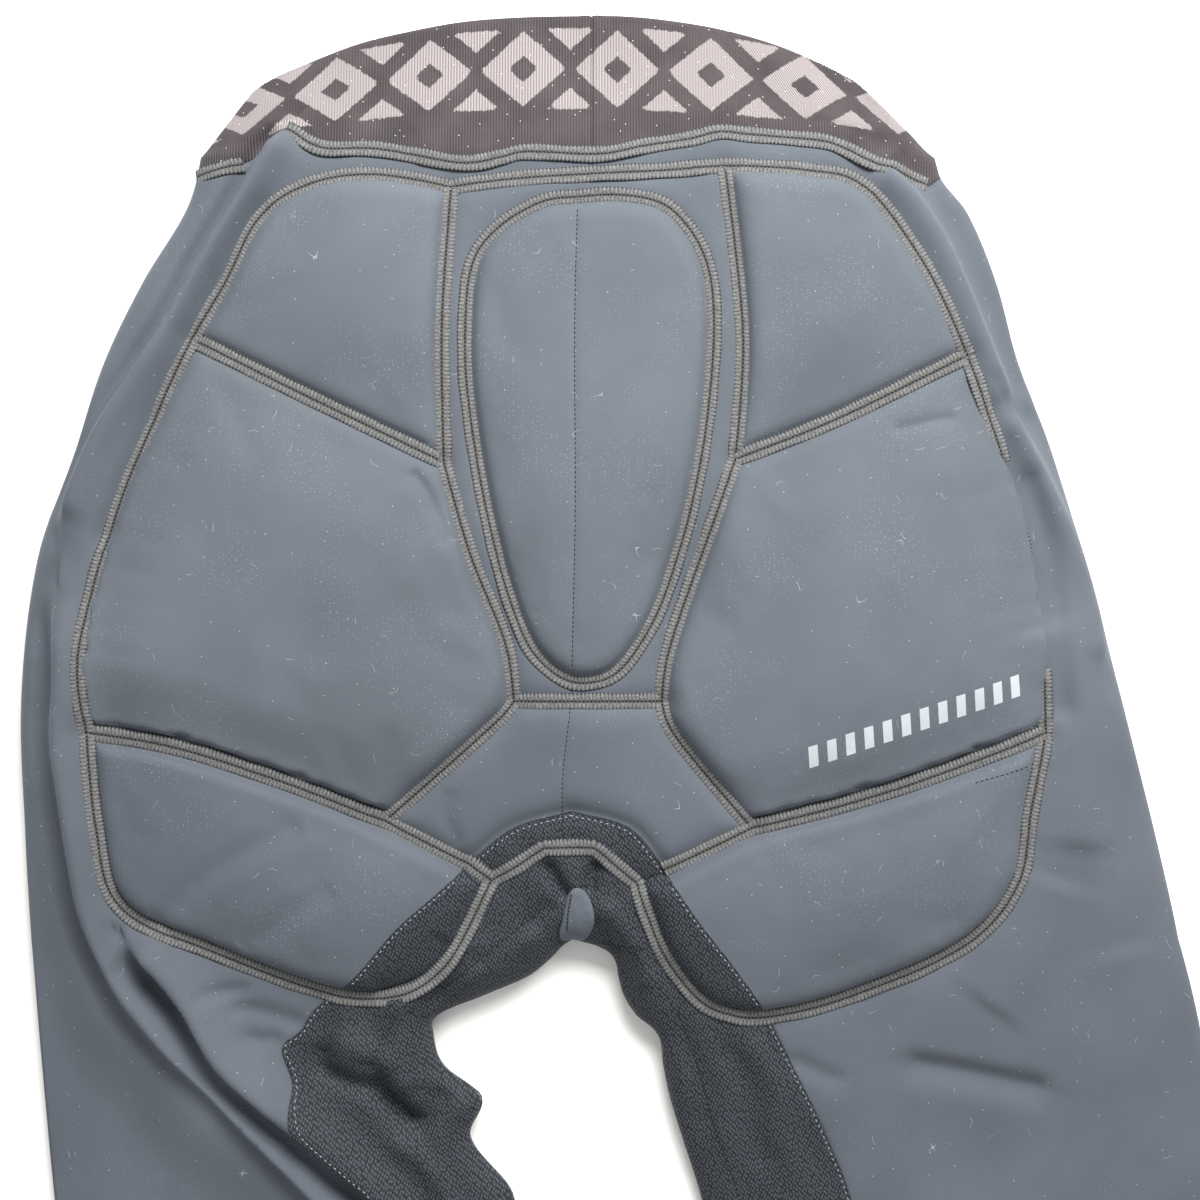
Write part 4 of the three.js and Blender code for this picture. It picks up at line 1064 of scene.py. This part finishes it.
# The needle line is a row of holes in painted shade: its dark width swells and narrows along with
# the threads.
holes = add(tree, "MapRange", {"From Min": -1.0, "From Max": 1.0, "To Min": 0.10, "To Max": -0.06},
            [("Value", wave_at, 0)])
from_holes = add(tree, "Math", {"operation": "ADD"}, [(0, side_of, 0), (1, holes, 0)])
bands = add(tree, "ValToRGB", {"stops": [
    (0.045, "#141517"), (0.10, "#3b3b3a"), (0.15, "#5f5f5d"), (0.60, "#676766"), (0.82, "#5b5b5a"),
    (0.92, "#26272a"), (1.0, "#1e2023")]}, [("Fac", from_holes, 0)])
# Painted shade: between the thread crowns the colour is dimmed to half.
thread_gap_shade = add(tree, "MapRange", {"From Min": -1.0, "From Max": 0.1, "To Min": 0.50, "To Max": 1.0},
          [("Value", wave_at, 0)])
fuzz = add(tree, "TexNoise", {"Scale": 1100.0, "Detail": 3.0},
           [("Vector", add(tree, "TexCoord"), "Object")])
fuzzy = add(tree, "MapRange", {"From Min": 0.3, "From Max": 0.7, "To Min": 0.62, "To Max": 1.38},
            [("Value", fuzz, 0)])
light = add(tree, "Math", {"operation": "MULTIPLY"}, [(0, thread_gap_shade, 0), (1, fuzzy, 0)])
shaded = add(tree, "VectorMath", {"operation": "SCALE"}, [("Vector", bands, 0), ("Scale", light, 0)])
tree.links.new(shaded.outputs[0], surface.inputs["Base Color"])

# A seam's section: places across it, the height there, and how much of the thread relief shows.
thread_pitch, thread_relief = 1.55, 0.20
section = np.array([-1.0, -0.92, -0.80, -0.52, -0.24, -0.09, 0.0, 0.09, 0.24, 0.52, 0.80, 0.92, 1.0])
profile = np.array([-0.75, 0.0, 0.42, 0.54, 0.50, 0.36, 0.26, 0.36, 0.50, 0.54, 0.42, 0.0, -0.75])
relief_share = np.array([0, 0.4, 1, 1, 1, 0.8, 1.0, 0.8, 1, 1, 1, 0.4, 0])


def cover_of(names):
    """All the pieces named as one tree, which finds the upper surface under a point in plan."""
    points, faces = [], []
    for name in names:
        mesh = bpy.data.objects[name].data
        start = len(points)
        points += [v.co * 1000 for v in mesh.vertices]
        faces += [[k + start for k in f.vertices] for f in mesh.polygons]
    return bvhtree.BVHTree.FromPolygons(points, faces)


def top_of(tree, p, otherwise=0.0):
    found = [tree.ray_cast((x, y, 90.0), (0, 0, -1)) for x, y in np.asarray(p, float)[:, :2]]
    return np.array([hit[0].z if hit[0] is not None else otherwise for hit in found])


cloth_top = cover_of([thing.name for thing in bpy.data.objects
                      if thing.name.endswith(("_cloth", "_knit", "_cover"))])


def seam_ribbon(line, width, lift, closed=False, covered=None):
    """Points, faces and marks of one flatlock seam that lies on the cloth, closed underneath. Between
    two shares of its length it can lie deeper, by the third value, under the edge of a pad."""
    run = smooth_line(line, thread_pitch / 4, closed)
    # A closed line's ends get the headings of a line that goes on round.
    normal = headings(np.vstack([run[-1:], run, run[:1]]))[1][1:-1] if closed else headings(run)[1]
    wander = 1 + 0.04 * np.sin(np.arange(len(run)) * 0.11 + lift * 9)
    flat = run[:, None] + normal[:, None] * (section[None, :, None] * width / 2) * wander[:, None, None]
    rests = [run + normal * (share * width / 2) for share in (-0.6, 0.0, 0.6)]
    levels_at = np.stack([np.maximum(top_of(cloth_top, spots), drape(spots)[:, 2] - 1.5)
                          for spots in rests], 1)
    reach = 9
    padded = np.pad(levels_at, ((reach, reach), (0, 0)), "wrap" if closed else "edge")
    kernel = np.hanning(2 * reach + 3)[1:-1]
    smooth = np.stack([np.convolve(padded[:, k], kernel / kernel.sum(), "valid") for k in range(3)], 1)
    centre = np.maximum(smooth[:, 1], smooth.mean(1) - 0.25)
    tilt = np.clip((smooth[:, 2] - smooth[:, 0]) / 1.2, -0.9, 0.9)
    if covered:
        share = np.linspace(0, 1, len(run))
        under = eased((share - covered[0]) / 0.06) * eased((covered[1] - share) / 0.06)
        centre, tilt = centre + under * (drape(run)[:, 2] - covered[2] - centre), tilt * (1 - under)
    # The threads bulge in turn: those right of the needle line are set off, and each one slants.
    phase = np.arange(len(run))[:, None] * np.pi / 2 + np.where(section > 0, 0.9, 0) \
        + 0.8 * np.abs(section)
    wave = 0.5 + 0.5 * np.cos(phase)
    height = centre[:, None] + tilt[:, None] * section + lift + 0.25 + profile \
        - thread_relief * relief_share * (1 - wave)
    base = np.dstack([flat, height])
    rows, columns = base.shape[:2]
    n = np.arange(rows * columns).reshape(rows, columns)
    m = np.vstack([n, n[:1]]) if closed else n
    quads = np.stack([m[1:, :-1], m[1:, 1:], m[:-1, 1:], m[:-1, :-1]], -1).reshape(-1, 4)
    soles = np.stack([m[1:, -1], m[1:, 0], m[:-1, 0], m[:-1, -1]], -1)
    faces = [tuple(f) for f in np.vstack([quads, soles])]
    if not closed:
        faces += [tuple(n[0]), tuple(n[-1][::-1])]
    return base.reshape(-1, 3), faces, np.tile(section, rows), (phase + np.pi / 2).ravel()


# The seams of each piece: the line, its width, how far it stands off the cloth, and what else.
left_end = np.array([(-156.0, 172.6), (-146.0, 174.4), (-136.0, 177.0)])
for name, ribbons in (
        ("tail_panel_seams", [
            (run_of("tail_left_upper", "tail_left_lower"), 7.4, 0.45),
            (run_of("tail_right_upper", "tail_right_lower"), 7.4, 0.45),
            (seams["yoke_top"], 7.2, 0.5),
            (oval_seam, 6.8, 0.5, True)]),
        ("hip_seams", [
            (seams["hip_seam_left"], 7.4, 0.55),
            (seams["hip_seam_right"], 7.4, 0.55),
            (seams["yoke_side_left"], 7.4, 0.5),
            (seams["yoke_side_right"], 7.4, 0.5),
            (run_of("top_arc_left", "top_middle", "top_arc_right"), 7.4, 0.5)]),
        ("thigh_seams", [
            (run_of("seat_seam_left", "thigh_top_left", "gusset_side_left"), 7.6, 0.55),
            (run_of("-seat_seam_right", "-thigh_top_right"), 7.6, 0.55),
            (seams["outer_left"], 7.4, 0.5, False, (0.16, 0.95, 0.0)),
            (seams["thigh_hem_left"], 7.4, 0.45),
            (seams["outer_right"], 7.4, 0.45, False, (0.26, 0.88, 2.4)),
            (run_of("crotch_seam", "thigh_hem_right"), 7.4, 0.45)]),
        # The waist seam runs under the ridge of cloth at the left hip, and shows again beyond it.
        ("waist_seam", [(waist_seam[waist_seam[:, 0] > -119], 7.4, 0.4), (left_end, 6.6, 0.1)])):
    points, faces, across_marks, along_marks = [], [], [], []
    for ribbon in ribbons:
        some, its_faces, across_mark, along_mark = seam_ribbon(*ribbon)
        start = sum(len(p) for p in points)
        faces += [tuple(k + start for k in face) for face in its_faces]
        points.append(some)
        across_marks.append(across_mark)
        along_marks.append(along_mark)
    piece = make(name, np.vstack(points), faces, flatlock,
                 across=np.concatenate(across_marks), along=np.concatenate(along_marks))
    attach(piece, "root")

# ---- Stitching and print ---------------------------------------------------------------------------
# Single stitches sewn through the cloth: black lockstitch up the centre back and along the knit
# panels, a pale row where knit meets jersey, and two plain rows round the leg hems. A slanted row of
# pale bars is printed on the right seat pad.

# Twisted sewing thread, matt: each stitch is a small spindle that sinks into the cloth at its ends.
threads = {}
for name, code in (("black sewing thread", "#16171a"), ("pale sewing thread", "#85898f")):
    threads[name], _, surface = cloth_material(name, 0.1, 0.7)
    surface.inputs["Base Color"].default_value = linear(code)


def stitched(name, lines, pitch, length, width, thread):
    """Single stitches along lines: two rings of four points each, with a point sunk at each end. None
    is set off the cloth's edge or over a step in it."""
    points, faces = [], []
    ring = np.array([(0, 1), (-1, 0), (0, -0.7), (1, 0)])
    lift, sunk, off_cloth, step = 0.1, 0.12, -9.0, 1.2
    for line in lines:
        spots = smooth_line(line, pitch)
        tangent, normal = headings(spots)
        ends = [spots + tangent * length * share for share in (-0.5, -0.28, 0.28, 0.5)]
        heights = [top_of(cloth_top, end, off_cloth) for end in ends]
        for k in range(len(spots)):
            h = np.array([height[k] for height in heights])
            if h.min() < -1 or np.ptp(h) > step:
                continue
            start = len(points)
            points.append((*ends[0][k], h[0] - sunk))
            for j in (1, 2):
                for a, b in ring:
                    points.append((*(ends[j][k] + normal[k] * a * width / 2),
                                   h[j] + lift + b * width / 2))
            points.append((*ends[3][k], h[3] - sunk))
            near_ring, far_ring = start + 1, start + 5
            for q, r in ((0, 1), (1, 2), (2, 3), (3, 0)):
                faces += [(start, near_ring + r, near_ring + q),
                          (near_ring + q, near_ring + r, far_ring + r, far_ring + q),
                          (start + 9, far_ring + q, far_ring + r)]
    piece = make(name, points, faces, threads[thread])
    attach(piece, "root")


stitched("centre_back_stitches", [middle_seam[middle_seam[:, 1] < waist - 18]], 1.9, 1.5, 0.42,
         "black sewing thread")
beside = [border + hand * 1.3 * headings(border)[1]
          for border, hand in zip(knit_borders.values(), (1, -1))]
stitched("knit_edge_stitches", [line[line[:, 1] > level_of(1.98)] for line in beside], 2.5, 1.4, 0.5,
         "pale sewing thread")
stitched("knit_top_stitches", [smooth_line(place(spots), 2) for spots in (
    [(-0.068, 0.959), (-0.131, 0.994), (-0.214, 1.073), (-0.265, 1.118), (-0.316, 1.154),
     (-0.344, 1.207), (-0.358, 1.235)],
    [(-0.330, 1.299), (-0.307, 1.353), (-0.287, 1.407), (-0.280, 1.471), (-0.261, 1.557),
     (-0.250, 1.75), (-0.250, 1.98)],
    [(0.027, 0.960), (0.066, 0.975), (0.122, 1.054), (0.178, 1.156), (0.212, 1.265),
     (0.240, 1.387), (0.284, 1.539), (0.340, 1.75), (0.380, 1.98)])], 2.6, 1.9, 0.65,
         "black sewing thread")
hems = []
for side in (-1, 1):
    for down in (1.885, 1.905):
        y = float(level_of(down))
        ends = sorted((float(outer_edge(side, y)) - side * 5, float(inner_edge(side, y)) + side * 4))
        hems.append(np.array([(x, y) for x in np.linspace(*ends, 30)]))
stitched("crotch_tab_stitches", [place([(-0.011, 0.936), (-0.017, 0.962), (-0.019, 0.990)])],
         1.6, 1.4, 0.7, "black sewing thread")
stitched("seat_seam_stitches", [place([(0.690, 0.792), (0.745, 0.780), (0.800, 0.767)])], 2.0, 1.5, 0.4,
         "black sewing thread")
stitched("hem_stitches", hems, 2.8, 2.1, 0.5, "black sewing thread")

# Heat-transfer print: a thin film of pale, matt, slightly rubbery ink with crisp edges.
ink, _, surface = cloth_material("pale transfer print", 0.0, 0.6)
surface.inputs["Base Color"].default_value = linear("#a9adb0")
points, faces = [], []
bar_count, bar_length, bar_width, ink_above, ink_depth = 12, 8.6, 3.8, 0.07, 0.22
along_way, up_way = np.array([0.955, 0.297]), np.array([-0.10, 0.995])
for number in range(bar_count):
    start = place([(0.400 + 0.0318 * number, 0.774 - 0.0078 * number)])[0]
    grid = np.array([start + along_way * a + up_way * b
                     for b in np.linspace(0, bar_length, 7) for a in np.linspace(0, bar_width, 4)])
    top = np.column_stack([grid, top_of(cloth_top, grid) + ink_above])
    film, film_faces = walled(top, [tuple(f) for f in grid_faces(7, 4, True)], ink_depth)
    faces += [tuple(k + len(points) for k in f) for f in film_faces]
    points += [tuple(q) for q in film]
bars = make("seat_print_bars", points, faces, ink)
bars.data.polygons.foreach_set("use_smooth", [False] * len(bars.data.polygons))
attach(bars, "root")

# ---- Setting ---------------------------------------------------------------------------------------
# A plain white floor, a large soft light above the waistband's end, a weaker one opposite, and a
# camera straight above, as in the photograph.
floor_material = bpy.data.materials.new("white paper floor")
floor_material.use_nodes = True
floor_surface = floor_material.node_tree.nodes["Principled BSDF"]
floor_surface.inputs["Base Color"].default_value = linear("#f4f1ec")
floor_surface.inputs["Roughness"].default_value = 0.9
reach, floor_level = 2500.0, -0.2
floor_corners = [(x * reach, y * reach, floor_level) for x, y in ((-1, -1), (1, -1), (1, 1), (-1, 1))]
floor = make("floor", floor_corners, [(0, 1, 2, 3)], floor_material)

scene = bpy.context.scene
scene.view_settings.view_transform = "Standard"
world = bpy.data.worlds.new("studio")
world.use_nodes = True
background = world.node_tree.nodes["Background"]
background.inputs["Color"].default_value = linear("#f3f5f8")
background.inputs["Strength"].default_value = 0.62
scene.world = world
# Both lights aim at the origin: place, width and power.
for name, stands_at, width, power in (
        ("key light", (0.30, 0.88, 0.92), 0.62, 44.0), ("fill light", (-0.5, -0.9, 1.3), 1.2, 3.0)):
    lamp = bpy.data.lights.new(name, "AREA")
    lamp.shape, lamp.size, lamp.size_y, lamp.energy = "RECTANGLE", width * 1.5, width, power
    holder = bpy.data.objects.new(name, lamp)
    holder.location = stands_at
    holder.rotation_euler = (-Vector(stands_at)).to_track_quat("-Z", "Y").to_euler()
    scene.collection.objects.link(holder)
lens = bpy.data.cameras.new("camera")
lens.lens, lens.sensor_width = 50.0, 36.0
eye = bpy.data.objects.new("camera", lens)
eye.location = (0.009, 0.0, 0.692)
scene.collection.objects.link(eye)
scene.camera = eye
